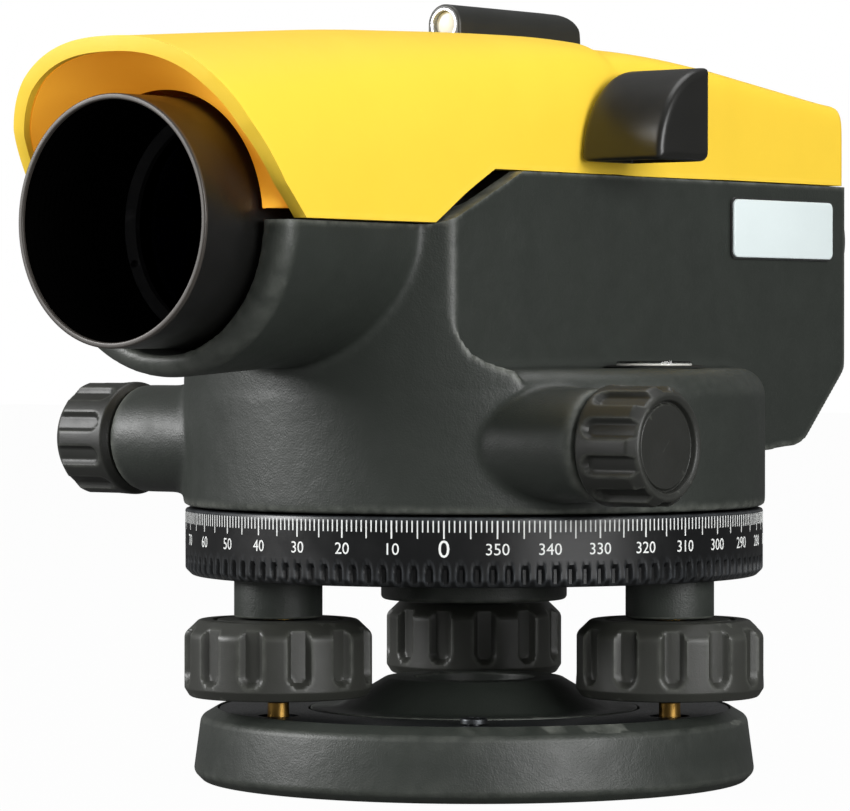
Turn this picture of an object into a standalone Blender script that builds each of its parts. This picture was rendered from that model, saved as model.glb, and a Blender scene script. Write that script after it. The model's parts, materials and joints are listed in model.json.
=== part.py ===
"""Automatic level: a telescope in a two-part housing that turns on a levelling base with three foot screws.

Frame: origin at the centre of the base plate's underside, +Z up, eyepiece towards +Y, objective towards -Y.
Dimensions below are in millimetres, and the helpers turn them into metres.
"""

import math

import bmesh
import bpy
import numpy as np
from mathutils import Matrix, Vector

MM = 0.001
GAP = 0.3
EDGE = 0.8
PAST = 20.0

# Base plate
BASE_R = 50.9
BASE_EDGE = 1.8
BASE_SHOULDER_R = 49.6
BASE_SHOULDER_Z = 11.4
BASE_TOP_R = 47.0
BASE_TOP_Z = 13.0
BOSS_TOP_Z = 18.4
BOSS_TOP_R = 16.0
BOSS_FOOT_R = 25.0
TRIPOD_BORE_R = 7.94
BOSS_RECESS_R = 10.8
BOSS_RECESS_Z = 15.0
SEAT_INNER_R = 34.0
SEAT_RECESS = 1.0

# Spring plate that holds the foot screws down
SPRING_INNER_R = 30.0
SPRING_OUTER_R = 46.4
SPRING_THICK = 1.0
SPRING_BED = 1.5
SPRING_SCREW_R = 1.4
SPRING_SCREW_LENGTH = 5.0
SPRING_SCREW_HEAD_R = 2.4
SPRING_SCREW_HEAD = 1.0
SPRING_HOLE_R = 3.6

# Foot screws
FOOT_CIRCLE_R = 40.1
FOOT_ANGLES = (8.4, 128.4, 248.4)
BALL_R = 2.8
BALL_Z = 7.5
POCKET_R = 4.6
POCKET_FLOOR_Z = 2.2
PIN_R = 2.0
THREAD_R = 3.0
THREAD_BOTTOM_Z = 17.0
THREAD_TOP_Z = 44.0
FOOT_KNOB_R = 16.65
FOOT_KNOB_TOP_R = 14.3
FOOT_KNOB_SLOPE = 2.2
FOOT_KNOB_Z = (16.3, 30.0)

# Levelling head
NECK_R = 7.85
HEAD_R = 49.0
HEAD_Z = (41.0, 46.2)
HUB_R = 16.9
HUB_BOTTOM_Z = 32.5
SPIGOT_R = 30.0
SPIGOT_TOP_Z = 48.6

# Horizontal circle
CIRCLE_R = 52.4
CIRCLE_WALL = 2.4
CIRCLE_Z = (37.1, 49.2)
CIRCLE_FLANGE = 2.7
CIRCLE_EDGE = 0.5

# Vertical axis
SPINDLE_R = 7.0
SPINDLE_END_R = 5.0
SPINDLE_Z = (33.0, 71.2)
SPINDLE_FLANGE_R = 16.0
SPINDLE_FLANGE = 3.2
BUSH_R = 10.7
BUSH_Z = (36.5, 66.8)
BUSH_FLANGE_R = 16.0
BUSH_FLANGE_Z = (54.5, 57.0)

# Tangent drive: worm wheel, worm shaft and two knobs
DRIVE_Y = -31.0
DRIVE_Z = 61.5
WHEEL_TEETH = 52
WHEEL_TOOTH = (1.4, 0.6)
WORM_PITCH = math.pi
WHEEL_TIP_R = 26.7
WHEEL_ROOT_R = 24.8
WHEEL_WIDTH = 4.0
WORM_TIP_R = 5.8
WORM_ROOT_R = 3.9
WORM_TURNS = 4
WORM_STEPS = 12
CLUTCH_RING = 2.0
DRIVE_SHAFT_R = 3.0
DRIVE_SHAFT_END = 64.0
DRIVE_BOSS_R = 9.8
DRIVE_BOSS_END = 50.2
DRIVE_BUSH_R = 6.0
DRIVE_BUSH_INSET = 3.0
DRIVE_KNOB_R = 10.35
DRIVE_KNOB_X = (53.3, 66.5)
DRIVE_CAP_R = 7.5

# Lower housing
DRUM_R = 52.8
DRUM_WALL = 3.0
DRUM_Z = (49.5, 74.5)
SHELF_FILLET = 5.0
DRUM_ROOF_Z = 71.5
BODY_HALF = 30.0
BODY_WALL = 3.0
BODY_BOTTOM_Z = 60.0
BODY_REAR_Y = 76.5
BODY_HEEL = ((76.5, 74.0), (63.3, 61.0), (62.0, 60.0))
BODY_PLAN_R = DRUM_R - 0.1
CAVITY_FRONT_Y = -38.0
CAVITY_FLOOR_Z = 75.0
CAVITY_HEEL = ((53.0, 75.0), (57.0, 64.0), (61.0, 64.0), (73.5, 76.0))
SPLIT_FRONT_Z = 99.1
SPLIT_REAR_Z = 108.7
SPLIT_STEP = ((-45.4, 99.1), (-41.0, 101.0), (-25.6, 108.0), (-24.0, 108.7))
BARREL_FRONT_Y = -84.4
BARREL_HALF = (27.8, 25.0)
BARREL_DEPTH = (26.0, 24.0)
BARREL_REAR_Y = (-46.8, -38.8)
BARREL_BORE_R = 22.2

# Telescope
AXIS_Z = 99.0
COVER_HALF = 28.0
COVER_FLARE = ((-97.5, 1.3), (-60.0, 0.0), (12.0, 0.0), (37.0, 1.4))
COVER_POWER = ((-97.5, 2.4), (-60.0, 3.0), (-20.0, 4.0), (8.0, 6.0), (37.0, 18.0))
COVER_WALL = 2.6
COVER_TOP = ((-99.3, 129.3), (-80.0, 130.8), (-50.0, 133.0), (-20.0, 134.0), (0.0, 134.0),
             (20.0, 132.3), (37.0, 130.0), (77.0, 125.0))
COVER_STATIONS = (-99.0, -80.0, -50.0, -20.0, 0.0, 20.0, 37.0, 74.6)
COVER_CAVITY_STATIONS = (-75.0, -50.0, -20.0, 0.0, 20.0, 37.0, 74.4)
COVER_REAR_Y = 77.3
COVER_SKIRT = 14.0
VISOR_EDGE = ((-80.0, 99.0), (-85.5, 105.0), (-92.0, 115.0), (-95.6, 123.0), (-97.5, 129.0))
VISOR_MOUTH_Y = -102.0
VISOR_THROAT_Y = -84.0
VISOR_LIP = 3.0
DUST_TUBE_R = 21.1
DUST_TUBE_BORE_R = 20.1
DUST_TUBE_Y = (-96.7, -49.0)
RETAINER_Y = (-72.0, -70.0)
RETAINER_WIDTH = 1.8
LENS_R = 19.8
FRONT_LENS_Y = (-68.6, -66.0)
REAR_LENS_Y = (-63.2, -60.0)
TUBE_R = 17.0
TUBE_BORE_R = 15.4
TUBE_Y = (-48.5, 8.0)
TUBE_FLANGE = 3.0
RACK_SLOT = ((-30.0, -42.5, 90.0), (-8.0, 9.0, 98.0))

# Focusing
FOCUS_Y = 14.0
FOCUS_Z = 97.0
PINION_TEETH = 8
PINION_MODULE = 0.8
PINION_R = 3.2
PINION_TOOTH = (1.3, 0.6)
PINION_X = -21.5
PINION_WIDTH = 4.0
CARRIAGE_R = 15.1
CARRIAGE_BORE_R = 12.0
CARRIAGE_Y = (-32.0, -10.0)
CARRIAGE_ARM_Z = 91.0
CARRIAGE_ARM_END = (-13.5, -13.0, 95.0)
FOCUS_LENS_Y = (-22.0, -19.0)
RACK_FRONT_Y = -29.0
RACK_TEETH = 18
RACK_TOOTH = (0.75, 0.3)
RACK_ROOT = 0.85
RACK_TIP = 0.6
RACK_DEPTH = 2.8
FOCUS_SHAFT_R = 1.9
FOCUS_BUSH_R = 5.0
FOCUS_KNOB_R = 19.0
FOCUS_KNOB_X = (-50.0, -34.5)
FOCUS_KNOB_FACE = 3.0
FOCUS_KNOB_EDGE = 1.5

# Compensator
COMP_Y = (24.0, 50.0)
COMP_HALF = 17.0
COMP_TOP_Z = 121.0
COMP_WALL = 2.5
PIVOT_Z = 114.0
TAPE_X = 9.0
TAPE_BOTTOM_Z = 111.0
PENDULUM_Y = 37.0
PENDULUM_SIZE = (22.0, 8.0)
PENDULUM_Z = (84.0, 110.7)
WINDOW_SIZE = (16.0, 10.0)
WINDOW_Z = (90.0, 107.0)
PRISM_BLOCK_SIZE = (15.2, 11.0)
PRISM_BLOCK_Z = (91.0, 106.6)
MAGNET_R = 6.0
MAGNET_BORE_R = 2.0
MAGNET_TOP_Z = 83.0
ROOF_PRISM_AT = (54.5, 92.0)
ROOF_PRISM_HALF = 6.0
ROOF_PRISM_WIDTH = 15.0

# Reticle and eyepiece
RETICLE_Y = (62.0, 65.0)
RETICLE_R = 12.6
RETICLE_GLASS_R = 8.0
RETICLE_GLASS_Y = (62.8, 64.2)
EYEPIECE_BORE_Y = (60.0, 80.0)
EYEPIECE_CLEAR_R = 9.5
EYEPIECE_BORE_R = 13.3
EYEPIECE_TUBE_R = 13.0
EYEPIECE_TUBE_Y = (66.0, 86.0)
EYEPIECE_RING_R = 17.0
EYEPIECE_RING_Y = (78.0, 91.5)
EYE_HOLE_R = 9.0
EYE_LENS_R = 8.6
EYE_LENS_Y = (88.1, 90.5)
EYECUP_R = 16.2
EYECUP_END_Y = 97.5
EYECUP_FLOOR = 1.5

# Circular level and its viewing prism
LEVEL_AT = (39.0, 2.0)
LEVEL_BEZEL_R = 9.0
LEVEL_VIAL_R = 6.8
LEVEL_TOP_Z = 77.0
PRISM_X = (28.4, 46.0)
PRISM_Y = (-5.6, 9.4)
PRISM_Z = (111.0, 127.6)
PRISM_WALL = 1.6
PRISM_WINDOW_X = (31.4, 43.0)
PRISM_WINDOW_Z = (114.0, 124.0)
MIRROR_OUTLINE = ((-3.4, 114.0), (-2.7, 113.4), (5.6, 122.6), (4.9, 123.2))

# Sighting tube
SIGHT_R = 3.7
SIGHT_BORE_R = 2.6
SIGHT_Y = (-8.8, 27.4)
SIGHT_Z = 136.3
SIGHT_SADDLE_Y = (17.0, 25.0)
SIGHT_SADDLE_Z = 133.0
SIGHT_SADDLE_HALF = 2.4
SIGHT_LENS_Y = ((-8.2, -7.0), (25.2, 26.4))

# Label plate
LABEL_Y = (38.3, 70.6)
LABEL_Z = (94.8, 105.5)
LABEL_THICK = 0.6

TURN = 2 * math.pi
ALONG = {
    "Z": Matrix.Identity(3),
    "X": Matrix(((0, 0, 1), (1, 0, 0), (0, 1, 0))),
    "Y": Matrix(((1, 0, 0), (0, 0, 1), (0, -1, 0))),
}


def clear_scene():
    for obj in list(bpy.data.objects):
        bpy.data.objects.remove(obj, do_unlink=True)


def new_collection(name):
    collection = bpy.data.collections.new(name)
    bpy.context.scene.collection.children.link(collection)
    return collection


def linear(channel):
    value = channel / 255
    return value / 12.92 if value <= 0.04045 else ((value + 0.055) / 1.055) ** 2.4


def material(name, colour, roughness, metallic=0.0, alpha=1.0):
    look = bpy.data.materials.new(name)
    look.use_nodes = True
    shader = look.node_tree.nodes["Principled BSDF"]
    shader.inputs["Base Color"].default_value = (*[linear(c) for c in colour], 1.0)
    shader.inputs["Roughness"].default_value = roughness
    shader.inputs["Metallic"].default_value = metallic
    shader.inputs["Alpha"].default_value = alpha
    return look


clear_scene()
PARTS = new_collection("automatic_level")
CUTTERS = new_collection("cutters")

YELLOW = material("yellow_enamel", (254, 226, 84), 0.35)
DARK = material("dark_housing_paint", (52, 56, 52), 0.6)
SATIN = material("satin_black_ring", (30, 33, 35), 0.4, 0.3)
KNOB = material("knob_plastic", (45, 46, 42), 0.5)
GLOSS = material("gloss_black_plastic", (18, 18, 19), 0.12)
BRASS = material("brass", (196, 160, 84), 0.3, 1.0)
STEEL = material("bright_steel", (176, 178, 180), 0.3, 1.0)
ALLOY = material("plain_alloy", (150, 152, 155), 0.4, 1.0)
BLACK = material("matt_black_metal", (24, 24, 25), 0.65, 0.5)
RUBBER = material("black_rubber", (20, 20, 20), 0.8)
GLASS = material("optical_glass", (226, 232, 240), 0.05, 0.0, 0.35)
LABEL = material("pale_label", (222, 234, 236), 0.4)
MAGNET = material("damper_magnet", (90, 92, 96), 0.4, 1.0)


def add(name, mesh, look, at=(0, 0, 0), along="Z"):
    """Links a mesh as a part, or as a hidden cutter when it has no look."""
    obj = bpy.data.objects.new(name, mesh)
    (PARTS if look else CUTTERS).objects.link(obj)
    obj.matrix_world = Matrix.Translation(Vector(at) * MM) @ ALONG[along].to_4x4()
    if look:
        mesh.materials.append(look)
    else:
        obj.hide_render = True
        obj.display_type = "WIRE"
    return obj


def closed_mesh(source):
    """The source object's evaluated mesh, welded, facing out and shaded smooth between sharp edges."""
    graph = bpy.context.evaluated_depsgraph_get()
    mesh = bpy.data.meshes.new_from_object(source.evaluated_get(graph))
    shape = bmesh.new()
    shape.from_mesh(mesh)
    bmesh.ops.remove_doubles(shape, verts=shape.verts, dist=1e-6)
    bmesh.ops.recalc_face_normals(shape, faces=shape.faces)
    shape.to_mesh(mesh)
    shape.free()
    mesh.materials.clear()
    mesh.shade_smooth()
    mesh.set_sharp_from_angle(angle=math.radians(35))
    return mesh


def made_from(source, name, look, at, along):
    mesh = closed_mesh(source)
    mesh.name = name
    data = source.data
    bpy.data.objects.remove(source)
    (bpy.data.curves if isinstance(data, bpy.types.Curve) else bpy.data.meshes).remove(data)
    return add(name, mesh, look, at, along)


def turned(name, look, profile, at=(0, 0, 0), along="Z", steps=20):
    """A turned solid. The profile holds (radius, height) points, from the top down its outer side."""
    mesh = bpy.data.meshes.new(name)
    count = len(profile)
    ring = min(radius for radius, _ in profile) > 0
    edges = [(i, (i + 1) % count) for i in range(count if ring else count - 1)]
    mesh.from_pydata([(radius * MM, 0, height * MM) for radius, height in profile], edges, [])
    guide = bpy.data.objects.new(name, mesh)
    CUTTERS.objects.link(guide)
    screw = guide.modifiers.new("turn", "SCREW")
    screw.steps = steps
    screw.render_steps = steps
    screw.use_merge_vertices = True
    screw.merge_threshold = 1e-6
    return made_from(guide, name, look, at, along)


def rod(name, look, radius, low, high, at=(0, 0, 0), along="Z", steps=16):
    profile = ((0, high), (radius, high), (radius, low), (0, low))
    return turned(name, look, profile, at, along, steps)


def tube(name, look, radius, bore, low, high, at=(0, 0, 0), along="Z", steps=20):
    profile = ((radius, high), (radius, low), (bore, low), (bore, high))
    return turned(name, look, profile, at, along, steps)


def plate(name, look, outlines, thickness, at=(0, 0, 0), along="Z"):
    """A flat plate, centred on its thickness, with its first outline outside and the others as holes."""
    curve = bpy.data.curves.new(name, "CURVE")
    curve.dimensions = "2D"
    curve.fill_mode = "BOTH"
    curve.extrude = thickness * MM / 2
    for outline in outlines:
        spline = curve.splines.new("POLY")
        spline.points.add(len(outline) - 1)
        for point, (u, v) in zip(spline.points, outline):
            point.co = (u * MM, v * MM, 0, 1)
        spline.use_cyclic_u = True
    guide = bpy.data.objects.new(name, curve)
    CUTTERS.objects.link(guide)
    return made_from(guide, name, look, at, along)


def block(name, look, low, high, bevel=0.0):
    """A box between two corners, with rounded edges when bevel is given."""
    size = [b - a for a, b in zip(low, high)]
    centre = [(a + b) / 2 for a, b in zip(low, high)]
    shape = bmesh.new()
    bmesh.ops.create_cube(shape, size=MM, matrix=Matrix.Diagonal((*size, 1.0)))
    mesh = bpy.data.meshes.new(name)
    shape.to_mesh(mesh)
    shape.free()
    obj = add(name, mesh, look, centre)
    if bevel:
        rounding = obj.modifiers.new("rounding", "BEVEL")
        rounding.width = bevel * MM
        rounding.segments = 2
    return obj


def loft(name, look, rings):
    """A closed body through rings of equal length, with flat ends."""
    count = len(rings[0])
    shape = bmesh.new()
    rows = [[shape.verts.new(Vector(point) * MM) for point in ring] for ring in rings]
    for near, far in zip(rows, rows[1:]):
        for i in range(count):
            j = (i + 1) % count
            shape.faces.new((near[i], near[j], far[j], far[i]))
    shape.faces.new(rows[0])
    shape.faces.new(rows[-1])
    bmesh.ops.recalc_face_normals(shape, faces=shape.faces)
    mesh = bpy.data.meshes.new(name)
    shape.to_mesh(mesh)
    shape.free()
    mesh.shade_smooth()
    mesh.set_sharp_from_angle(angle=math.radians(35))
    return add(name, mesh, look)


def combine(target, operation, others):
    for other in others:
        modifier = target.modifiers.new(other.name, "BOOLEAN")
        modifier.operation = operation
        modifier.object = other
    return target


def cut(target, *cutters):
    return combine(target, "DIFFERENCE", cutters)


def join(target, *others):
    return combine(target, "UNION", others)


def circle(radius, steps=16, centre=(0.0, 0.0), start=0.0):
    angles = [math.radians(start) + TURN * i / steps for i in range(steps)]
    return [(centre[0] + radius * math.cos(a), centre[1] + radius * math.sin(a)) for a in angles]


def arc(radius, centre, first, last, steps):
    """Points on an arc from one angle to another, in degrees."""
    angles = [math.radians(first + (last - first) * i / steps) for i in range(steps + 1)]
    return [(centre[0] + radius * math.cos(a), centre[1] + radius * math.sin(a)) for a in angles]


def on_foot_circle(angle, radius=FOOT_CIRCLE_R):
    return radius * math.cos(math.radians(angle)), radius * math.sin(math.radians(angle))


def gear_outline(teeth, root, tip, root_width, tip_width, first=0.0):
    """Straight-sided teeth: each has two root corners and two tip corners. Widths are arc lengths."""
    points = []
    for i in range(teeth):
        middle = math.radians(first) + TURN * i / teeth
        for radius, width in ((root, -root_width), (tip, -tip_width), (tip, tip_width), (root, root_width)):
            angle = middle + width / 2 / radius
            points.append((radius * math.cos(angle), radius * math.sin(angle)))
    return points


# ---- Base and foot screws ----


def base_plate():
    profile = (
        (BOSS_RECESS_R, BOSS_TOP_Z),
        (BOSS_TOP_R, BOSS_TOP_Z),
        (BOSS_FOOT_R, BASE_TOP_Z),
        (SPRING_INNER_R - GAP, BASE_TOP_Z),
        (SPRING_INNER_R - GAP, BASE_TOP_Z - SPRING_BED),
        (SPRING_OUTER_R + GAP, BASE_TOP_Z - SPRING_BED),
        (SPRING_OUTER_R + GAP, BASE_TOP_Z),
        (BASE_TOP_R, BASE_TOP_Z),
        (BASE_SHOULDER_R, BASE_SHOULDER_Z),
        (BASE_R, BASE_EDGE),
        (BASE_R - BASE_EDGE, 0),
        (SEAT_INNER_R, 0),
        (SEAT_INNER_R, SEAT_RECESS),
        (TRIPOD_BORE_R, SEAT_RECESS),
        (TRIPOD_BORE_R, BOSS_RECESS_Z),
        (BOSS_RECESS_R, BOSS_RECESS_Z),
    )
    base = turned("base_plate", DARK, profile, steps=40)
    for angle in FOOT_ANGLES:
        x, y = on_foot_circle(angle)
        cut(base, rod("ball_pocket", None, POCKET_R, POCKET_FLOOR_Z, BASE_TOP_Z, (x, y, 0), steps=12))
        x, y = on_foot_circle(angle + 60)
        low = BASE_TOP_Z - SPRING_BED - SPRING_SCREW_LENGTH
        cut(base, rod("screw_hole", None, SPRING_SCREW_R + GAP, low, BASE_TOP_Z, (x, y, 0), steps=8))


def spring_plate():
    holes = [circle(SPRING_INNER_R, 32)]
    for angle in FOOT_ANGLES:
        holes.append(circle(SPRING_HOLE_R, 12, on_foot_circle(angle)))
        holes.append(circle(SPRING_SCREW_R + GAP, 8, on_foot_circle(angle + 60)))
    middle = BASE_TOP_Z - SPRING_BED + GAP + SPRING_THICK / 2
    plate("spring_plate", STEEL, [circle(SPRING_OUTER_R, 32), *holes], SPRING_THICK, (0, 0, middle))


def spring_plate_screw(number, angle):
    x, y = on_foot_circle(angle)
    seat = BASE_TOP_Z - SPRING_BED + 2 * GAP + SPRING_THICK
    profile = (
        (0, seat + SPRING_SCREW_HEAD),
        (SPRING_SCREW_HEAD_R, seat + SPRING_SCREW_HEAD),
        (SPRING_SCREW_HEAD_R, seat),
        (SPRING_SCREW_R, seat),
        (SPRING_SCREW_R, seat - SPRING_SCREW_LENGTH),
        (0, seat - SPRING_SCREW_LENGTH),
    )
    turned(f"spring_plate_screw_{number}", STEEL, profile, (x, y, 0), steps=8)


def foot_screw(number, angle):
    x, y = on_foot_circle(angle)
    neck = math.degrees(math.acos(PIN_R / BALL_R))
    profile = (
        (0, THREAD_TOP_Z),
        (THREAD_R, THREAD_TOP_Z),
        (THREAD_R, THREAD_BOTTOM_Z),
        (PIN_R, THREAD_BOTTOM_Z - 1),
        *arc(BALL_R, (0, BALL_Z), neck, -75, 4),
        (0, BALL_Z - BALL_R),
    )
    turned(f"foot_screw_{number}", BRASS, profile, (x, y, 0), steps=12)


def foot_knob(number, angle):
    x, y = on_foot_circle(angle)
    low, high = FOOT_KNOB_Z
    profile = (
        (THREAD_R + GAP, high),
        (FOOT_KNOB_TOP_R, high),
        (FOOT_KNOB_R, high - FOOT_KNOB_SLOPE),
        (FOOT_KNOB_R, low + EDGE),
        (FOOT_KNOB_R - EDGE, low),
        (THREAD_R + GAP, low),
    )
    turned(f"foot_knob_{number}", KNOB, profile, (x, y, 0), steps=20)


def levelling_head():
    low, high = HEAD_Z
    profile = (
        (BUSH_R + GAP, SPIGOT_TOP_Z),
        (SPIGOT_R, SPIGOT_TOP_Z),
        (SPIGOT_R, high),
        (HEAD_R, high),
        (HEAD_R, low),
        (HUB_R, low),
        (HUB_R, HUB_BOTTOM_Z),
        (BUSH_R + GAP, HUB_BOTTOM_Z),
    )
    head = turned("levelling_head", DARK, profile, steps=32)
    neck_bottom = FOOT_KNOB_Z[1] + GAP
    for angle in FOOT_ANGLES:
        x, y = on_foot_circle(angle)
        join(head, rod("neck", None, NECK_R, neck_bottom, high - 1, (x, y, 0)))
        cut(head, rod("neck_bore", None, THREAD_R + GAP, neck_bottom - 1, high + 1, (x, y, 0), steps=12))


def axis_bush():
    low, high = BUSH_Z
    flange_low, flange_high = BUSH_FLANGE_Z
    profile = (
        (BUSH_R, high),
        (BUSH_R, flange_high),
        (BUSH_FLANGE_R, flange_high),
        (BUSH_FLANGE_R, flange_low),
        (BUSH_R, flange_low),
        (BUSH_R, low),
        (SPINDLE_R + GAP, low),
        (SPINDLE_R + GAP, high),
    )
    turned("axis_bush", BRASS, profile)


def horizontal_circle():
    low, high = CIRCLE_Z
    profile = (
        (SPIGOT_R + GAP, high),
        (CIRCLE_R - CIRCLE_EDGE, high),
        (CIRCLE_R, high - CIRCLE_EDGE),
        (CIRCLE_R, low + EDGE),
        (CIRCLE_R - EDGE, low),
        (CIRCLE_R - CIRCLE_WALL, low),
        (CIRCLE_R - CIRCLE_WALL, high - CIRCLE_FLANGE),
        (SPIGOT_R + GAP, high - CIRCLE_FLANGE),
    )
    turned("horizontal_circle", SATIN, profile, steps=40)


# ---- Vertical axis and tangent drive ----


def spindle():
    low, high = SPINDLE_Z
    shoulder = BUSH_Z[0] - GAP
    profile = (
        (0, high),
        (SPINDLE_FLANGE_R, high),
        (SPINDLE_FLANGE_R, high - SPINDLE_FLANGE),
        (SPINDLE_R, high - SPINDLE_FLANGE),
        (SPINDLE_R, shoulder),
        (SPINDLE_END_R, shoulder),
        (SPINDLE_END_R, low),
        (0, low),
    )
    turned("spindle", STEEL, profile)
    nut = [circle(SPINDLE_R + 2.5, 6), circle(SPINDLE_END_R + GAP)]
    plate("spindle_nut", STEEL, nut, shoulder - GAP - low, (0, 0, (shoulder - GAP + low) / 2))


def clutch():
    """The drive wheel is held by friction, between a spring washer and a retaining ring on the bush."""
    bore = BUSH_R + GAP
    wheel_low = DRIVE_Z - WHEEL_WIDTH / 2
    wheel_high = DRIVE_Z + WHEEL_WIDTH / 2
    tube("clutch_washer", STEEL, BUSH_FLANGE_R, bore, BUSH_FLANGE_Z[1] + GAP, wheel_low - GAP)
    ring_low = wheel_high + GAP
    tube("clutch_ring", STEEL, BUSH_FLANGE_R - CLUTCH_RING, bore, ring_low, ring_low + CLUTCH_RING)
    teeth = gear_outline(WHEEL_TEETH, WHEEL_ROOT_R, WHEEL_TIP_R, *WHEEL_TOOTH, first=-90)
    plate("drive_wheel", BRASS, [teeth, circle(bore, 20)], WHEEL_WIDTH, (0, 0, DRIVE_Z))


def worm_thread(name):
    """A right-hand thread about X, with flat ends that fan in to the axis."""
    steps = WORM_STEPS
    corners = ((0.25, WORM_ROOT_R), (0.35, WORM_TIP_R), (0.65, WORM_TIP_R), (0.75, WORM_ROOT_R))
    per_turn = len(corners)
    last = WORM_TURNS * per_turn
    shape = bmesh.new()
    verts = {}
    for row in range(last + per_turn + 1):
        share, radius = corners[row % per_turn]
        start = row // per_turn + share - (WORM_TURNS + 2) / 2
        for i in range(steps if row <= last else 1):
            angle = TURN * i / steps
            along = WORM_PITCH * (start + i / steps)
            point = (along, DRIVE_Y + radius * math.cos(angle), DRIVE_Z + radius * math.sin(angle))
            verts[row, i] = shape.verts.new(Vector(point) * MM)

    def vert(row, i):
        return verts[row, i] if i < steps else verts[row + per_turn, 0]

    for row in range(last):
        for i in range(steps):
            shape.faces.new((vert(row, i), vert(row, i + 1), vert(row + 1, i + 1), vert(row + 1, i)))
    for row in (0, last):
        rim = [vert(row, i) for i in range(steps + 1)] + [vert(row + k, 0) for k in (3, 2, 1)]
        middle = sum((v.co.x for v in rim)) / len(rim)
        tip = shape.verts.new((middle, DRIVE_Y * MM, DRIVE_Z * MM))
        for near, far in zip(rim, rim[1:] + rim[:1]):
            shape.faces.new((near, far, tip))
    bmesh.ops.recalc_face_normals(shape, faces=shape.faces)
    mesh = bpy.data.meshes.new(name)
    shape.to_mesh(mesh)
    shape.free()
    return add(name, mesh, None)


def drive_shaft():
    at = (0, DRIVE_Y, DRIVE_Z)
    shaft = rod("drive_shaft", STEEL, DRIVE_SHAFT_R, -DRIVE_SHAFT_END, DRIVE_SHAFT_END, at, "X", 12)
    join(shaft, worm_thread("worm_thread"))


def drive_knob(name, side):
    low, high = DRIVE_KNOB_X
    profile = (
        (0, high - EDGE),
        (DRIVE_CAP_R, high - EDGE),
        (DRIVE_CAP_R + EDGE, high),
        (DRIVE_KNOB_R - EDGE, high),
        (DRIVE_KNOB_R, high - EDGE),
        (DRIVE_KNOB_R, low + EDGE),
        (DRIVE_KNOB_R - EDGE, low),
        (DRIVE_SHAFT_R + GAP, low),
        (DRIVE_SHAFT_R + GAP, DRIVE_SHAFT_END + GAP),
        (0, DRIVE_SHAFT_END + GAP),
    )
    knob = turned(name, KNOB, profile)
    knob.matrix_world = side_frame(side)


def drive_bush(name, side):
    low = math.sqrt((DRUM_R - DRUM_WALL) ** 2 - DRIVE_Y**2) - DRIVE_BUSH_INSET
    profile = (
        (DRIVE_BUSH_R, DRIVE_KNOB_X[0] - GAP),
        (DRIVE_BUSH_R, low),
        (DRIVE_SHAFT_R + GAP, low),
        (DRIVE_SHAFT_R + GAP, DRIVE_KNOB_X[0] - GAP),
    )
    bush = turned(name, BLACK, profile, steps=16)
    bush.matrix_world = side_frame(side)


def side_frame(side):
    """Places a turned piece on the drive axis, facing +X for side 1 and -X for side -1."""
    place = Matrix.Translation(Vector((0, DRIVE_Y, DRIVE_Z)) * MM)
    half_turn = Matrix.Rotation(math.pi if side < 0 else 0, 4, "Z")
    return place @ half_turn @ ALONG["X"].to_4x4()


# ---- Housing ----


def split_line(lift=0.0):
    """The step between the dark housing and the cover, from the front to the rear, as (y, z) points."""
    line = [(BARREL_FRONT_Y - PAST, SPLIT_FRONT_Z), *SPLIT_STEP, (BODY_REAR_Y + PAST, SPLIT_REAR_Z)]
    return [(y, z + lift) for y, z in line]


def body_block():
    """The flat-sided middle of the housing. Its round front stays just inside the drum's wall."""
    front = -DRUM_R - PAST
    outline = [
        (front, BODY_BOTTOM_Z),
        (front, SPLIT_FRONT_Z),
        *SPLIT_STEP,
        (BODY_REAR_Y, SPLIT_REAR_Z),
        *BODY_HEEL,
    ]
    body = plate("body_block", None, [outline], 2 * BODY_HALF, along="X")
    rear = BODY_REAR_Y + PAST
    plan = [*arc(BODY_PLAN_R, (0, 0), -180, 0, 24), (BODY_PLAN_R, rear), (-BODY_PLAN_R, rear)]
    height = SPLIT_REAR_Z - BODY_BOTTOM_Z + PAST
    middle = (SPLIT_REAR_Z + BODY_BOTTOM_Z) / 2
    combine(body, "INTERSECT", [plate("body_plan", None, [plan], height, (0, 0, middle))])
    return body


def barrel_ring(y, half, depth):
    """A U-shaped section: a half ellipse below the telescope axis and a flat top at the split."""
    angles = [math.pi * i / 16 for i in range(17)]
    points = [(half * math.cos(a), y, AXIS_Z - depth * math.sin(a)) for a in angles]
    return [(half, y, SPLIT_FRONT_Z), *points, (-half, y, SPLIT_FRONT_Z)]


def front_barrel():
    (wide, narrow), (deep, shallow) = BARREL_HALF, BARREL_DEPTH
    return loft("front_barrel", None, [
        barrel_ring(BARREL_FRONT_Y, wide - EDGE, deep - EDGE),
        barrel_ring(BARREL_FRONT_Y + EDGE, wide, deep),
        *[barrel_ring(y, narrow, shallow) for y in BARREL_REAR_Y],
    ])


def body_cavity():
    top = SPLIT_REAR_Z + PAST
    outline = [
        (CAVITY_FRONT_Y, CAVITY_FLOOR_Z),
        *CAVITY_HEEL,
        (BODY_REAR_Y - BODY_WALL, top),
        (CAVITY_FRONT_Y, top),
    ]
    return plate("body_cavity", None, [outline], 2 * (BODY_HALF - BODY_WALL), along="X")


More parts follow.
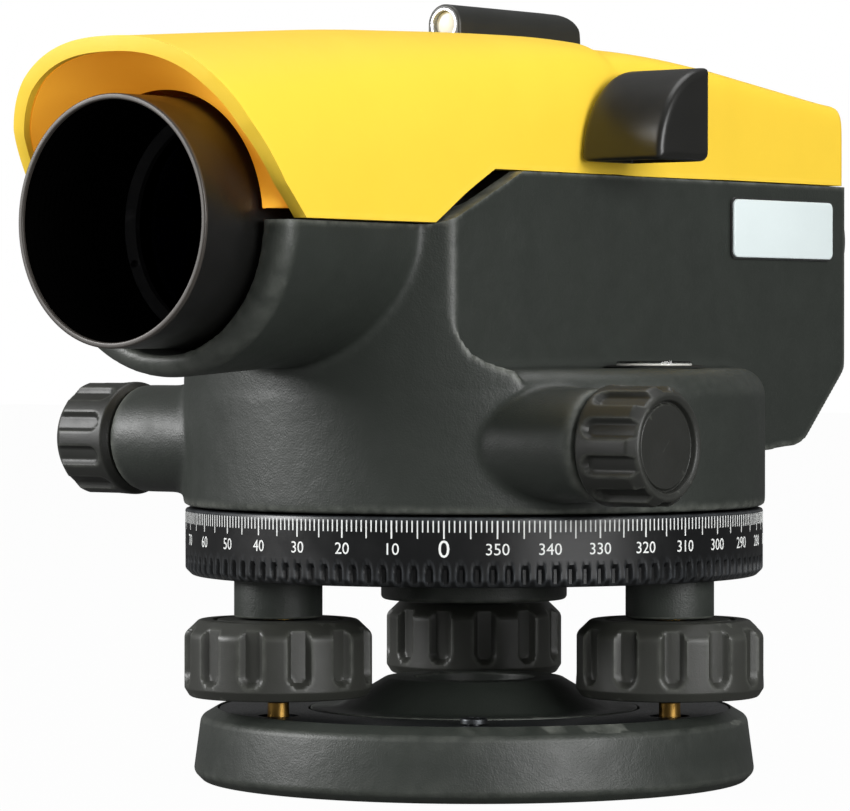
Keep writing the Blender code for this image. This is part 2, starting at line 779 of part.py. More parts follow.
def lower_housing():
    low, high = DRUM_Z
    fillet_centre = (DRUM_R - SHELF_FILLET, high - SHELF_FILLET)
    profile = ((0, high), *arc(SHELF_FILLET, fillet_centre, 90, 0, 3), (DRUM_R, low), (0, low))
    housing = turned("lower_housing", DARK, profile, steps=48)
    join(housing, body_block(), front_barrel())
    drive_at = (0, DRIVE_Y, DRIVE_Z)
    focus_at = (0, FOCUS_Y, FOCUS_Z)
    axis_at = (0, 0, AXIS_Z)
    join(housing, rod("drive_boss", None, DRIVE_BOSS_R, -DRIVE_BOSS_END, DRIVE_BOSS_END, drive_at, "X"))
    cut(
        housing,
        rod("drum_cavity", None, DRUM_R - DRUM_WALL, low - 1, DRUM_ROOF_Z, steps=48),
        body_cavity(),
        rod("barrel_bore", None, BARREL_BORE_R, BARREL_FRONT_Y - PAST, CAVITY_FRONT_Y + 8, axis_at, "Y", 24),
        rod("drive_bore", None, DRIVE_BUSH_R + GAP, -DRIVE_SHAFT_END, DRIVE_SHAFT_END, drive_at, "X"),
        rod("focus_bore", None, FOCUS_BUSH_R + GAP, FOCUS_KNOB_X[1], PINION_X, focus_at, "X", 16),
        rod("eyepiece_bore", None, EYEPIECE_BORE_R, *EYEPIECE_BORE_Y, axis_at, "Y", 20),
    )


def at_y(table, y):
    """The value at y on straight lines through the table's (y, value) pairs, level past both ends."""
    ys, values = zip(*table)
    return float(np.interp(y, ys, values))


def cover_ring(y, inset=0.0):
    """A superellipse on upright skirts: round at the visor, boxy with soft shoulders at the rear."""
    half = COVER_HALF + at_y(COVER_FLARE, y) - inset
    height = at_y(COVER_TOP, y) - inset - AXIS_Z
    share = 2 / at_y(COVER_POWER, y)
    points = []
    for i in range(13):
        angle = math.pi * i / 12
        across = math.copysign(abs(math.cos(angle)) ** share, math.cos(angle))
        points.append((half * across, y, AXIS_Z + height * abs(math.sin(angle)) ** share))
    bottom = AXIS_Z - COVER_SKIRT
    return [(half, y, bottom), *points, (-half, y, bottom)]


def visor_funnel():
    """The hollow of the visor, from its mouth down to the round opening for the dust tube."""
    mouth = cover_ring(VISOR_MOUTH_Y, VISOR_LIP)
    throat = []
    for i in range(15):
        angle = math.pi * (i - 1) / 12
        across, up = BARREL_BORE_R * math.cos(angle), BARREL_BORE_R * math.sin(angle)
        throat.append((across, VISOR_THROAT_Y, AXIS_Z + up))
    return loft("visor_funnel", None, [mouth, throat])


def top_cover():
    rings = [cover_ring(y) for y in COVER_STATIONS] + [cover_ring(COVER_REAR_Y, COVER_WALL)]
    cover = loft("top_cover", YELLOW, rings)
    inner = [cover_ring(y, COVER_WALL) for y in COVER_CAVITY_STATIONS]
    line = split_line(GAP)
    floor = AXIS_Z - COVER_SKIRT - PAST
    below = [(line[-1][0], floor), (line[0][0], floor), *line]
    front, low, high = VISOR_MOUTH_Y - PAST, VISOR_EDGE[0][1] - PAST, VISOR_EDGE[-1][1] + PAST
    ahead = [*VISOR_EDGE, (VISOR_EDGE[-1][0], high), (front, high), (front, low), (VISOR_EDGE[0][0], low)]
    axis_at = (0, 0, AXIS_Z)
    sight_at = (0, 0, SIGHT_Z)
    cut(
        cover,
        loft("cover_cavity", None, inner),
        plate("below_split", None, [below], 80, along="X"),
        plate("ahead_of_visor", None, [ahead], 80, along="X"),
        visor_funnel(),
        rod("cover_bore", None, BARREL_BORE_R, VISOR_THROAT_Y - 1, VISOR_THROAT_Y + PAST, axis_at, "Y", 24),
        rod("cover_eyepiece_bore", None, EYEPIECE_BORE_R, *EYEPIECE_BORE_Y, axis_at, "Y", 20),
        rod("sight_groove", None, SIGHT_R + GAP, SIGHT_Y[0] - GAP, SIGHT_Y[1] + GAP, sight_at, "Y", 16),
    )


def label_plate():
    face = BODY_HALF + GAP
    block("label_plate", LABEL, (face, LABEL_Y[0], LABEL_Z[0]), (face + LABEL_THICK, LABEL_Y[1], LABEL_Z[1]))


# ---- Telescope optics and focusing ----


def lens(name, radius, low, high, bulge_low, bulge_high, steps=20):
    """A turned lens about the telescope axis: each bulge is how far that face's middle stands out."""
    high_face = [(radius * t, high + bulge_high * (1 - t * t)) for t in (0, 0.5, 1)]
    low_face = [(radius * t, low - bulge_low * (1 - t * t)) for t in (1, 0.5, 0)]
    turned(name, GLASS, [*high_face, *low_face], (0, 0, AXIS_Z), "Y", steps)


def objective():
    axis_at = (0, 0, AXIS_Z)
    tube("dust_tube", DARK, DUST_TUBE_R, DUST_TUBE_BORE_R, *DUST_TUBE_Y, axis_at, "Y", 24)
    tube("lens_retaining_ring", BLACK, LENS_R, LENS_R - RETAINER_WIDTH, *RETAINER_Y, axis_at, "Y")
    lens("objective_lens_front", LENS_R, *FRONT_LENS_Y, 0.9, 2.2)
    lens("objective_lens_rear", LENS_R, *REAR_LENS_Y, -2.2, 0.3)


def telescope_tube():
    low, high = TUBE_Y
    profile = (
        (TUBE_R, high),
        (TUBE_R, low + TUBE_FLANGE),
        (DUST_TUBE_R, low + TUBE_FLANGE),
        (DUST_TUBE_R, low),
        (TUBE_BORE_R, low),
        (TUBE_BORE_R, high),
    )
    body = turned("telescope_tube", BLACK, profile, (0, 0, AXIS_Z), "Y")
    cut(body, block("rack_slot", None, *RACK_SLOT))


def focus_carriage():
    low, high = CARRIAGE_Y
    pitch_line = FOCUS_Z - PINION_R
    carriage = tube("focus_carriage", BRASS, CARRIAGE_R, CARRIAGE_BORE_R, low, high, (0, 0, AXIS_Z), "Y")
    arm_start = (PINION_X + PINION_WIDTH / 2 + GAP, RACK_FRONT_Y, CARRIAGE_ARM_Z)
    join(carriage, block("carriage_arm", None, arm_start, CARRIAGE_ARM_END))
    lens("focus_lens", CARRIAGE_BORE_R - GAP, *FOCUS_LENS_Y, -0.8, -0.8)
    pitch = math.pi * PINION_MODULE
    root, tip = RACK_TOOTH
    root_z, tip_z = pitch_line - RACK_ROOT, pitch_line + RACK_TIP
    teeth = []
    for i in range(RACK_TEETH):
        middle = FOCUS_Y + pitch * (i - RACK_TEETH + 3)
        teeth += [(middle - root, root_z), (middle - tip, tip_z)]
        teeth += [(middle + tip, tip_z), (middle + root, root_z)]
    end, floor = teeth[-1][0] + 1, pitch_line - RACK_DEPTH
    outline = [(RACK_FRONT_Y, root_z), *teeth, (end, root_z), (end, floor), (RACK_FRONT_Y, floor)]
    plate("focus_rack", BRASS, [outline], PINION_WIDTH, (PINION_X, 0, 0), "X")


def focus_drive():
    at = (0, FOCUS_Y, FOCUS_Z)
    inner_x = PINION_X + PINION_WIDTH / 2
    knob_low, knob_high = FOCUS_KNOB_X
    shaft = rod("focus_shaft", STEEL, FOCUS_SHAFT_R, knob_low + FOCUS_KNOB_FACE, inner_x, at, "X", 16)
    first = -90 + 180 / PINION_TEETH
    outline = gear_outline(PINION_TEETH, PINION_R - 0.9, PINION_R + 0.55, *PINION_TOOTH, first)
    pinion = plate("pinion", None, [outline], PINION_WIDTH, (PINION_X, FOCUS_Y, FOCUS_Z), "X")
    join(shaft, pinion)
    bush_low = knob_high + GAP
    bush_high = PINION_X - PINION_WIDTH / 2 - 1
    bore_r = FOCUS_SHAFT_R + GAP
    tube("focus_bush", BRASS, FOCUS_BUSH_R, bore_r, bush_low, bush_high, at, "X", 16)
    bore_end = knob_low + FOCUS_KNOB_FACE - GAP
    profile = (
        (0, bore_end),
        (bore_r, bore_end),
        (bore_r, knob_high),
        (FOCUS_KNOB_R - EDGE, knob_high),
        (FOCUS_KNOB_R, knob_high - EDGE),
        (FOCUS_KNOB_R, knob_low + FOCUS_KNOB_EDGE),
        (FOCUS_KNOB_R - FOCUS_KNOB_EDGE, knob_low),
        (0, knob_low),
    )
    turned("focus_knob", KNOB, profile, at, "X", 24)


# ---- Compensator ----


def slab(name, look, size, heights):
    """A block about the pendulum's plane, from its width and thickness."""
    wide, thick = size[0] / 2, size[1] / 2
    low = (-wide, PENDULUM_Y - thick, heights[0])
    high = (wide, PENDULUM_Y + thick, heights[1])
    return block(name, look, low, high)


def compensator():
    low, high = COMP_Y
    floor = CAVITY_FLOOR_Z + GAP
    ceiling = COMP_TOP_Z - COMP_WALL
    inside = COMP_HALF - COMP_WALL
    frame = block("compensator_frame", ALLOY, (-COMP_HALF, low, floor), (COMP_HALF, high, COMP_TOP_Z))
    hollow_low = (-inside, low - 1, floor + COMP_WALL)
    cut(frame, block("frame_hollow", None, hollow_low, (inside, high + 1, ceiling)))
    for name, x in (("suspension_tape_left", TAPE_X), ("suspension_tape_right", -TAPE_X)):
        near, far = PENDULUM_Y - 0.2, PENDULUM_Y + 0.2
        block(name, STEEL, (x - 1, near, TAPE_BOTTOM_Z), (x + 1, far, ceiling - GAP))
    pendulum = slab("pendulum", ALLOY, PENDULUM_SIZE, PENDULUM_Z)
    cut(pendulum, slab("pendulum_window", None, WINDOW_SIZE, WINDOW_Z))
    slab("pendulum_prism", GLASS, PRISM_BLOCK_SIZE, PRISM_BLOCK_Z)
    magnet_low = floor + COMP_WALL + GAP
    magnet_at = (0, PENDULUM_Y, 0)
    tube("damper_magnet", MAGNET, MAGNET_R, MAGNET_BORE_R, magnet_low, MAGNET_TOP_Z, magnet_at, "Z", 16)
    prism = [(-ROOF_PRISM_HALF, 0), (ROOF_PRISM_HALF, 0), (0, ROOF_PRISM_HALF)]
    plate("roof_prism", GLASS, [prism], ROOF_PRISM_WIDTH, (0, *ROOF_PRISM_AT), "X")


# ---- Reticle and eyepiece ----


def reticle():
    axis_at = (0, 0, AXIS_Z)
    tube("reticle_mount", BRASS, RETICLE_R, RETICLE_GLASS_R + GAP, *RETICLE_Y, axis_at, "Y")
    rod("reticle_glass", GLASS, RETICLE_GLASS_R, *RETICLE_GLASS_Y, axis_at, "Y")


def eyepiece():
    axis_at = (0, 0, AXIS_Z)
    low, high = EYEPIECE_TUBE_Y
    tube("eyepiece_mount", BLACK, EYEPIECE_TUBE_R, EYEPIECE_CLEAR_R, low, high, axis_at, "Y")
    ring_low, ring_high = EYEPIECE_RING_Y
    profile = (
        (EYE_HOLE_R, ring_high),
        (EYEPIECE_RING_R - EDGE, ring_high),
        (EYEPIECE_RING_R, ring_high - EDGE),
        (EYEPIECE_RING_R, ring_low + EDGE),
        (EYEPIECE_RING_R - EDGE, ring_low),
        (EYEPIECE_TUBE_R + GAP, ring_low),
        (EYEPIECE_TUBE_R + GAP, high + GAP),
        (EYE_HOLE_R, high + GAP),
    )
    turned("eyepiece_ring", KNOB, profile, axis_at, "Y")
    lens("eye_lens", EYE_LENS_R, *EYE_LENS_Y, 0.6, 0.6)
    cup_low = ring_high + GAP
    cup_floor = cup_low + EYECUP_FLOOR
    cup = (
        (EYECUP_R - 2, EYECUP_END_Y),
        (EYECUP_R - EDGE / 2, EYECUP_END_Y),
        (EYECUP_R, EYECUP_END_Y - EDGE),
        (EYECUP_R, cup_low),
        (EYE_HOLE_R, cup_low),
        (EYE_HOLE_R, cup_floor),
        (EYECUP_R - 3, cup_floor),
    )
    turned("eyecup", RUBBER, cup, axis_at, "Y")


# ---- Circular level, viewing prism and sighting tube ----


def circular_level():
    at = (*LEVEL_AT, 0)
    floor = DRUM_Z[1] + GAP
    tube("level_bezel", BLACK, LEVEL_BEZEL_R, LEVEL_VIAL_R + GAP, floor, LEVEL_TOP_Z - 0.4, at)
    rod("level_vial", GLASS, LEVEL_VIAL_R, floor, LEVEL_TOP_Z, at)


def prism_outline(inset=0.0, drop=0.0):
    """A quarter ellipse at the front and a straight back, as (y, z) points."""
    front, back = PRISM_Y
    bottom, top = PRISM_Z
    wide = back - front - 2 * inset
    tall = top - bottom - inset
    angles = [math.pi / 2 * i / 8 for i in range(9)]
    curve = [(back - inset - wide * math.cos(a), bottom + tall * math.sin(a)) for a in angles]
    return [(back - inset, bottom - drop), (curve[0][0], bottom - drop), *curve]


def prism_housing():
    near, far = PRISM_X
    middle = (near + far) / 2
    inside = far - near - 2 * PRISM_WALL
    shell = plate("prism_housing", GLOSS, [prism_outline()], far - near, (middle, 0, 0), "X")
    hollow = plate("prism_hollow", None, [prism_outline(PRISM_WALL, 1.0)], inside, (middle, 0, 0), "X")
    (left, right), (low, high), back = PRISM_WINDOW_X, PRISM_WINDOW_Z, PRISM_Y[1]
    cut(shell, hollow, block("prism_window", None, (left, back - 3, low), (right, back + 1, high)))
    glass_low = (left + GAP, back - 1.2, low + GAP)
    glass_high = (right - GAP, back - GAP, high - GAP)
    block("level_window", GLASS, glass_low, glass_high)
    plate("level_mirror", STEEL, [MIRROR_OUTLINE], inside - 1, (middle, 0, 0), "X")


def sighting_tube():
    at = (0, 0, SIGHT_Z)
    low, high = SIGHT_Y
    body = rod("sight_tube", GLOSS, SIGHT_R, low, high, at, "Y", 16)
    saddle_low, saddle_high = SIGHT_SADDLE_Y
    saddle_from = (-SIGHT_SADDLE_HALF, saddle_low, SIGHT_SADDLE_Z)
    join(body, block("sight_saddle", None, saddle_from, (SIGHT_SADDLE_HALF, saddle_high, SIGHT_Z)))
    cut(body, rod("sight_bore", None, SIGHT_BORE_R, low - 1, high + 1, at, "Y", 16))
    for name, (near, far) in zip(("sight_lens_front", "sight_lens_rear"), SIGHT_LENS_Y):
        rod(name, GLASS, SIGHT_BORE_R - GAP, near, far, at, "Y", 12)


# ---- Origins ----

HEAD_PARTS = ("levelling_head", "axis_bush", "clutch_washer", "clutch_ring")
PENDULUM_PARTS = ("pendulum", "pendulum_prism")
OFF_AXIS_PARTS = (
    "compensator_frame", "suspension_tape_left", "suspension_tape_right", "damper_magnet", "roof_prism",
    "label_plate", "prism_housing", "level_bezel", "level_vial", "level_window", "level_mirror",
    "focus_bush", "drive_bush_left", "drive_bush_right",
)


def move_origin(name, point):
    """Puts a part's origin at a point, without moving its shape."""
    obj = bpy.data.objects[name]
    target = Vector(point) * MM
    turn = obj.matrix_world.to_3x3()
    obj.data.transform(Matrix.Translation(turn.inverted() @ (obj.matrix_world.translation - target)))
    obj.location = target


def place_origins():
    """The head's pieces get the tilt axis, the pendulum's its pivot and the telescope's the upright axis."""
    (x1, y1), (x2, y2) = (on_foot_circle(angle) for angle in FOOT_ANGLES[:2])
    for name in HEAD_PARTS:
        move_origin(name, ((x1 + x2) / 2, (y1 + y2) / 2, BALL_Z))
    for name in PENDULUM_PARTS:
        move_origin(name, (0, PENDULUM_Y, PIVOT_Z))
    for name in OFF_AXIS_PARTS:
        move_origin(name, (0, 0, AXIS_Z))


def build():
    base_plate()
    spring_plate()
    for number, angle in enumerate(FOOT_ANGLES, 1):
        spring_plate_screw(number, angle + 60)
        foot_screw(number, angle)
        foot_knob(number, angle)
    levelling_head()
    axis_bush()
    horizontal_circle()
    spindle()
    clutch()
    drive_shaft()
    for name, side in (("left", 1), ("right", -1)):
        drive_knob(f"drive_knob_{name}", side)
        drive_bush(f"drive_bush_{name}", side)
    lower_housing()
    top_cover()
    label_plate()
    objective()
    telescope_tube()
    focus_carriage()
    focus_drive()
    compensator()
    reticle()
    eyepiece()
    circular_level()
    prism_housing()
    sighting_tube()
    place_origins()


build()
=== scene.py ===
"""Looks of the automatic level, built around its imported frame.

Lengths in this script are millimetres, and the helpers turn them into the frame's metres.
"""

import json
import math

import bmesh
import bpy
import numpy as np
from mathutils import Matrix, Vector

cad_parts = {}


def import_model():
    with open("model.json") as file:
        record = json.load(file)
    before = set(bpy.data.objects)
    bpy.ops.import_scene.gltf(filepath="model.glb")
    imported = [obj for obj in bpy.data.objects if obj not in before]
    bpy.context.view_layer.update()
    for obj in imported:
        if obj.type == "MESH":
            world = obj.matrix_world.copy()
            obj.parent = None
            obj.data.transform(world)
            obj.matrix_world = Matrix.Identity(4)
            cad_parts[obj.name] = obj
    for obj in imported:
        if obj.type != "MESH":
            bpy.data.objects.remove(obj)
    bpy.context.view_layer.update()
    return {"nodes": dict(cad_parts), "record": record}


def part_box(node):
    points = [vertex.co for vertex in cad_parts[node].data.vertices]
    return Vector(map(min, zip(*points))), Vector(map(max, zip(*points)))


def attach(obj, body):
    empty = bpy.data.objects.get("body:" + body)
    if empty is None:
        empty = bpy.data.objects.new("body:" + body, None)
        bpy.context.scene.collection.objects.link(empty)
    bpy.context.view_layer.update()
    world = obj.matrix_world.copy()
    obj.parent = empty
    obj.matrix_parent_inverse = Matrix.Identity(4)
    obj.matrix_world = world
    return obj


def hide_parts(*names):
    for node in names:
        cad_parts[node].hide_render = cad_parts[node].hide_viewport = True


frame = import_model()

MM = 0.001
TURN = 2 * math.pi
UPRIGHT = Matrix.Identity(3)
ALONG = {
    "Z": UPRIGHT,
    "X": Matrix(((0, 0, 1), (1, 0, 0), (0, 1, 0))),
    "Y": Matrix(((1, 0, 0), (0, 0, 1), (0, -1, 0))),
}


class Box:
    """A CAD node's box at rest, in millimetres."""

    def __init__(self, node):
        low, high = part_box(node)
        self.low = low / MM
        self.high = high / MM
        self.middle = (self.low + self.high) / 2
        self.size = self.high - self.low


# ---- Mesh helpers ----


def linked(obj):
    bpy.context.scene.collection.objects.link(obj)
    return obj


def add_piece(name, mesh, look, body, replaces=(), sharp=32):
    """Links a mesh given in the rest frame, shades it, and makes it ride on its body."""
    mesh.materials.clear()
    mesh.materials.append(look)
    mesh.shade_smooth()
    mesh.set_sharp_from_angle(angle=math.radians(sharp))
    piece = linked(bpy.data.objects.new(name, mesh))
    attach(piece, body)
    if replaces:
        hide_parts(*replaces)
    return piece


def tidy_mesh(name, verts, faces):
    """A mesh from points in millimetres, welded, with its faces pointing out."""
    mesh = bpy.data.meshes.new(name)
    mesh.from_pydata([tuple(v) for v in np.asarray(verts, float) * MM], [], faces)
    shape = bmesh.new()
    shape.from_mesh(mesh)
    bmesh.ops.remove_doubles(shape, verts=shape.verts, dist=1e-7)
    bmesh.ops.recalc_face_normals(shape, faces=shape.faces)
    shape.to_mesh(mesh)
    shape.free()
    return mesh


def grid_faces(rows, columns, wrap_rows=False, wrap_columns=False):
    faces = []
    for i in range(rows if wrap_rows else rows - 1):
        below = (i + 1) % rows
        for j in range(columns if wrap_columns else columns - 1):
            beside = (j + 1) % columns
            here, under = i * columns, below * columns
            faces.append((here + j, under + j, under + beside, here + beside))
    return faces


def placed(points, at=(0, 0, 0), along="Z"):
    return points @ np.array(ALONG[along]).T + np.array(at, float)


def rounded(corners, steps=6):
    """Rounds a closed outline. Each corner is (u, v), or (u, v, radius)."""
    points = []
    for i, corner in enumerate(corners):
        here = np.array(corner[:2], float)
        radius = corner[2] if len(corner) > 2 else 0
        if not radius:
            points.append(here)
            continue
        back = np.array(corners[i - 1][:2], float) - here
        ahead = np.array(corners[(i + 1) % len(corners)][:2], float) - here
        back_length, ahead_length = np.linalg.norm(back), np.linalg.norm(ahead)
        back, ahead = back / back_length, ahead / ahead_length
        half = math.acos(float(np.clip(back @ ahead, -1, 1))) / 2
        reach = min(radius / math.tan(half), 0.49 * back_length, 0.49 * ahead_length)
        radius = reach * math.tan(half)
        centre = here + (back + ahead) / np.linalg.norm(back + ahead) * radius / math.sin(half)
        start, end = here + back * reach - centre, here + ahead * reach - centre
        sweep = math.acos(float(np.clip(start @ end / radius**2, -1, 1)))
        for k in range(steps + 1):
            t = k / steps
            blend = (math.sin((1 - t) * sweep) * start + math.sin(t * sweep) * end) / math.sin(sweep)
            points.append(centre + blend)
    return np.array(points)


def dense(outline, longest):
    """The closed outline with its long stretches divided."""
    points = []
    for here, ahead in zip(outline, np.roll(outline, -1, axis=0)):
        count = max(1, math.ceil(np.linalg.norm(ahead - here) / longest))
        points += [here + (ahead - here) * k / count for k in range(count)]
    return np.array(points)


def turned_mesh(name, corners, at=(0, 0, 0), along="Z", steps=96, longest=None, carve=None, first=0.0):
    """A turned solid from a closed outline of (radius, height, rounding) corners, lowered by carve."""
    outline = rounded(corners)
    if longest:
        outline = dense(outline, longest)
    angle = math.radians(first) + np.arange(steps)[:, None] * TURN / steps
    radius = np.repeat(outline[None, :, 0], steps, axis=0)
    height = np.repeat(outline[None, :, 1], steps, axis=0)
    if carve:
        radius = carve(angle, radius, height)
    points = np.stack([radius * np.cos(angle), radius * np.sin(angle), height], axis=-1)
    points = placed(points.reshape(-1, 3), at, along)
    return tidy_mesh(name, points, grid_faces(steps, len(outline), True, True))


def turned(name, look, body, corners, at=(0, 0, 0), along="Z", replaces=(), **shape):
    return add_piece(name, turned_mesh(name, corners, at, along, **shape), look, body, replaces)


def slots(count, radius, half_width, depth, end, outwards, soft, first=0.0):
    """Grooves with a round end around a knob, from `end` to the rim that lies `outwards` (1 or -1)."""

    def carve(angle, radii, height):
        phase = (angle - math.radians(first)) * count / TURN
        across = (phase - np.round(phase)) * TURN / count * radius
        past = np.maximum(0, (end + outwards * half_width - height) * outwards)
        inside = np.clip((half_width - np.hypot(across, past)) / soft, 0, 1)
        cut = inside * inside * (3 - 2 * inside)
        return np.minimum(radii, radius - depth * cut)

    return carve


def lofted_mesh(name, rings, at=(0, 0, 0), along="Z"):
    """A closed body through rings of equal length, with flat ends."""
    count = len(rings[0])
    faces = grid_faces(len(rings), count, False, True)
    faces.append(tuple(range(count)))
    faces.append(tuple(range((len(rings) - 1) * count, len(rings) * count)))
    return tidy_mesh(name, placed(np.concatenate(rings), at, along), faces)


def extruded_mesh(name, outline, low, high, along="X", at=(0, 0, 0), edge=0.0, steps=4):
    """An outline pushed along an axis between two heights, with both rims rounded by `edge`."""
    outline = np.asarray(outline, float)
    ahead = np.roll(outline, -1, axis=0) - outline
    behind = outline - np.roll(outline, 1, axis=0)
    ahead, behind = (v / np.linalg.norm(v, axis=1)[:, None] for v in (ahead, behind))
    tangent = ahead + behind
    tangent /= np.linalg.norm(tangent, axis=1)[:, None]
    inward = np.stack([-tangent[:, 1], tangent[:, 0]], axis=1)
    area = np.sum(outline[:, 0] * np.roll(outline[:, 1], -1) - np.roll(outline[:, 0], -1) * outline[:, 1])
    inward *= math.copysign(1, area)
    rings = []
    quarter = [math.pi / 2 * k / steps for k in range(steps + 1)] if edge else [math.pi / 2]
    for height, side in ((low, 1), (high, -1)):
        for a in quarter if side > 0 else reversed(quarter):
            inset, depth = edge * (1 - math.sin(a)), edge * (1 - math.cos(a))
            ring = outline + inward * inset
            rings.append(np.column_stack([ring, np.full(len(ring), height + side * depth)]))
    return lofted_mesh(name, rings, at, along)


def extruded(name, look, body, outline, low, high, along="X", at=(0, 0, 0), edge=0.0, replaces=()):
    return add_piece(name, extruded_mesh(name, outline, low, high, along, at, edge), look, body, replaces)


def rod(radius, start, end):
    """The (radius, height) outline of a plain cylinder, mostly for bores."""
    return [(0.0, start), (radius, start), (radius, end), (0.0, end)]


def rectangle(low, high, radius):
    (u0, v0), (u1, v1) = low, high
    return [(u0, v0, radius), (u1, v0, radius), (u1, v1, radius), (u0, v1, radius)]


def circle(radius, steps, centre=(0.0, 0.0)):
    angle = np.arange(steps) * TURN / steps
    return np.column_stack([centre[0] + radius * np.cos(angle), centre[1] + radius * np.sin(angle)])


def evaluated(obj):
    """The object's mesh with its modifiers applied."""
    bpy.context.view_layer.update()
    graph = bpy.context.evaluated_depsgraph_get()
    return bpy.data.meshes.new_from_object(obj.evaluated_get(graph))


def scratch(mesh):
    return linked(bpy.data.objects.new("scratch", mesh))


def combined_mesh(base, steps, remesh=None, smooth=0):
    """Joins and cuts meshes in order, then rounds the result: steps are (operation, mesh)."""
    work = scratch(base)
    others = []
    for operation, mesh in steps:
        other = scratch(mesh)
        others.append(other)
        modifier = work.modifiers.new(operation, "BOOLEAN")
        modifier.operation = operation
        modifier.object = other
    if remesh:
        modifier = work.modifiers.new("remesh", "REMESH")
        modifier.mode = "VOXEL"
        modifier.voxel_size = remesh * MM
    if smooth:
        modifier = work.modifiers.new("smooth", "SMOOTH")
        modifier.factor = 0.5
        modifier.iterations = smooth
    mesh = evaluated(work)
    for obj in [work, *others]:
        bpy.data.objects.remove(obj)
    return mesh


def cut_mesh(base, cutters, **rounding):
    """The base with every cutter taken away from it."""
    return combined_mesh(base, [("DIFFERENCE", cutter) for cutter in cutters], **rounding)


def walled(skin, thickness, even=False):
    """The skin with a wall built inwards from it."""
    work = scratch(skin)
    wall = work.modifiers.new("wall", "SOLIDIFY")
    wall.thickness = thickness * MM
    wall.offset = -1
    wall.use_even_offset = even
    mesh = evaluated(work)
    bpy.data.objects.remove(work)
    return mesh


# ---- Materials ----

SLOT_OF = {}


def linear(colour):
    share = np.array(colour, float) / 255
    return np.where(share <= 0.04045, share / 12.92, ((share + 0.055) / 1.055) ** 2.4)


class Look:
    """A node material being built: a Principled shader with textures in the piece's own space."""

    def __init__(self, name, slot, **inputs):
        self.material = bpy.data.materials.new(name)
        self.material.use_nodes = True
        self.tree = self.material.node_tree
        self.shader = self.tree.nodes["Principled BSDF"]
        for key, value in inputs.items():
            self.shader.inputs[key.replace("_", " ")].default_value = value
        self.place = self.tree.nodes.new("ShaderNodeTexCoord").outputs["Object"]
        SLOT_OF[self.material.name] = slot

    def node(self, kind, inputs=None, **settings):
        """A new node. Each input is a value, or a socket to link from."""
        made = self.tree.nodes.new(kind)
        for key, value in settings.items():
            setattr(made, key, value)
        for key, value in (inputs or {}).items():
            if isinstance(value, bpy.types.NodeSocket):
                self.tree.links.new(value, made.inputs[key])
            else:
                made.inputs[key].default_value = value
        return made

    def noise(self, size, detail=3.0, stretch=(1, 1, 1), rough=0.55):
        """Noise whose features are about `size` millimetres."""
        mapped = self.node("ShaderNodeMapping", {"Vector": self.place, "Scale": stretch})
        made = self.node("ShaderNodeTexNoise", {
            "Vector": mapped.outputs["Vector"], "Scale": 1 / (size * MM), "Detail": detail,
            "Roughness": rough})
        return made.outputs["Fac"]

    def ramp(self, source, low, high, low_value=0.0, high_value=1.0):
        made = self.node("ShaderNodeMapRange", {
            "Value": source, "From Min": low, "From Max": high, "To Min": low_value, "To Max": high_value})
        return made.outputs["Result"]

    def mix(self, share, first, second):
        ends = [end if isinstance(end, bpy.types.NodeSocket) else (*end, 1.0) for end in (first, second)]
        return self.node("ShaderNodeMix", {0: share, 6: ends[0], 7: ends[1]}, data_type="RGBA").outputs[2]

    def feed(self, key, source):
        self.tree.links.new(source, self.shader.inputs[key])

    def bump(self, *layers):
        """Each layer is (source, height in millimetres)."""
        normal = None
        for source, height in layers:
            inputs = {"Height": source, "Strength": 1.0, "Distance": height * MM}
            if normal:
                inputs["Normal"] = normal
            normal = self.node("ShaderNodeBump", inputs).outputs["Normal"]
        self.feed("Normal", normal)

    def edges(self, low, high, strength):
        """A mask of the convex edges, broken up so that it isn't even. The colour laid there is partly edge
        wear and partly a painted highlight on the rounded edges.
        """
        point = self.node("ShaderNodeNewGeometry").outputs["Pointiness"]
        mask = self.ramp(point, low, high)
        patch = self.ramp(self.noise(2.5, 4), 0.35, 0.65, 0.35, 1.0)
        return self.scaled(mask, self.scaled(patch, strength))

    def scaled(self, source, factor):
        return self.node("ShaderNodeMath", {0: source, 1: factor}, operation="MULTIPLY").outputs[0]


def painted(name, slot, colour, spread, rough, grain, relief, edge=None, stretch=(1, 1, 1), **inputs):
    """A coated or moulded surface: mottled colour, uneven gloss, fine relief and lighter edges. The edge
    colour is partly wear and partly a painted highlight.
    """
    look = Look(name, slot, **inputs)
    base = linear(colour)
    shade = look.ramp(look.noise(9, 5), 0.3, 0.7)
    body = look.mix(shade, tuple(base * (1 - spread)), tuple(np.minimum(base * (1 + spread), 1)))
    speck = look.ramp(look.noise(grain * 1.7, 2, stretch), 0.62, 0.8, 0.0, 0.35)
    body = look.mix(speck, body, tuple(np.minimum(base * (1 + 8 * spread), 1)))
    # Lighter convex edges: partly wear, partly a painted highlight along the rounded edges.
    if edge:
        body = look.mix(look.edges(0.505, 0.54, edge[1]), body, tuple(linear(edge[0])))
    look.feed("Base Color", body)
    look.feed("Roughness", look.ramp(look.noise(5, 4), 0.25, 0.75, rough - 0.06, rough + 0.06))
    look.bump((look.noise(grain, 2, stretch), relief), (look.noise(grain * 8, 2), relief * 1.5))
    return look.material


def machined(name, slot, colour, rough, lines, stretch=(0.03, 0.03, 1)):
    """Bare metal with fine tool marks that run across the stretch, and edges lightened partly as wear and
    partly as a painted highlight.
    """
    look = Look(name, slot, Metallic=1.0)
    base = linear(colour)
    marks = look.noise(lines, 3, stretch)
    stain = look.ramp(look.noise(7, 5), 0.35, 0.75)
    body = look.mix(stain, tuple(base), tuple(base * 0.82))
    # Lighter convex edges: partly wear, partly a painted highlight.
    body = look.mix(look.edges(0.51, 0.56, 0.5), body, tuple(np.minimum(base * 1.5, 1)))
    look.feed("Base Color", body)
    look.feed("Roughness", look.ramp(marks, 0.3, 0.7, rough - 0.07, rough + 0.1))
    look.bump((marks, 0.006))
    return look.material


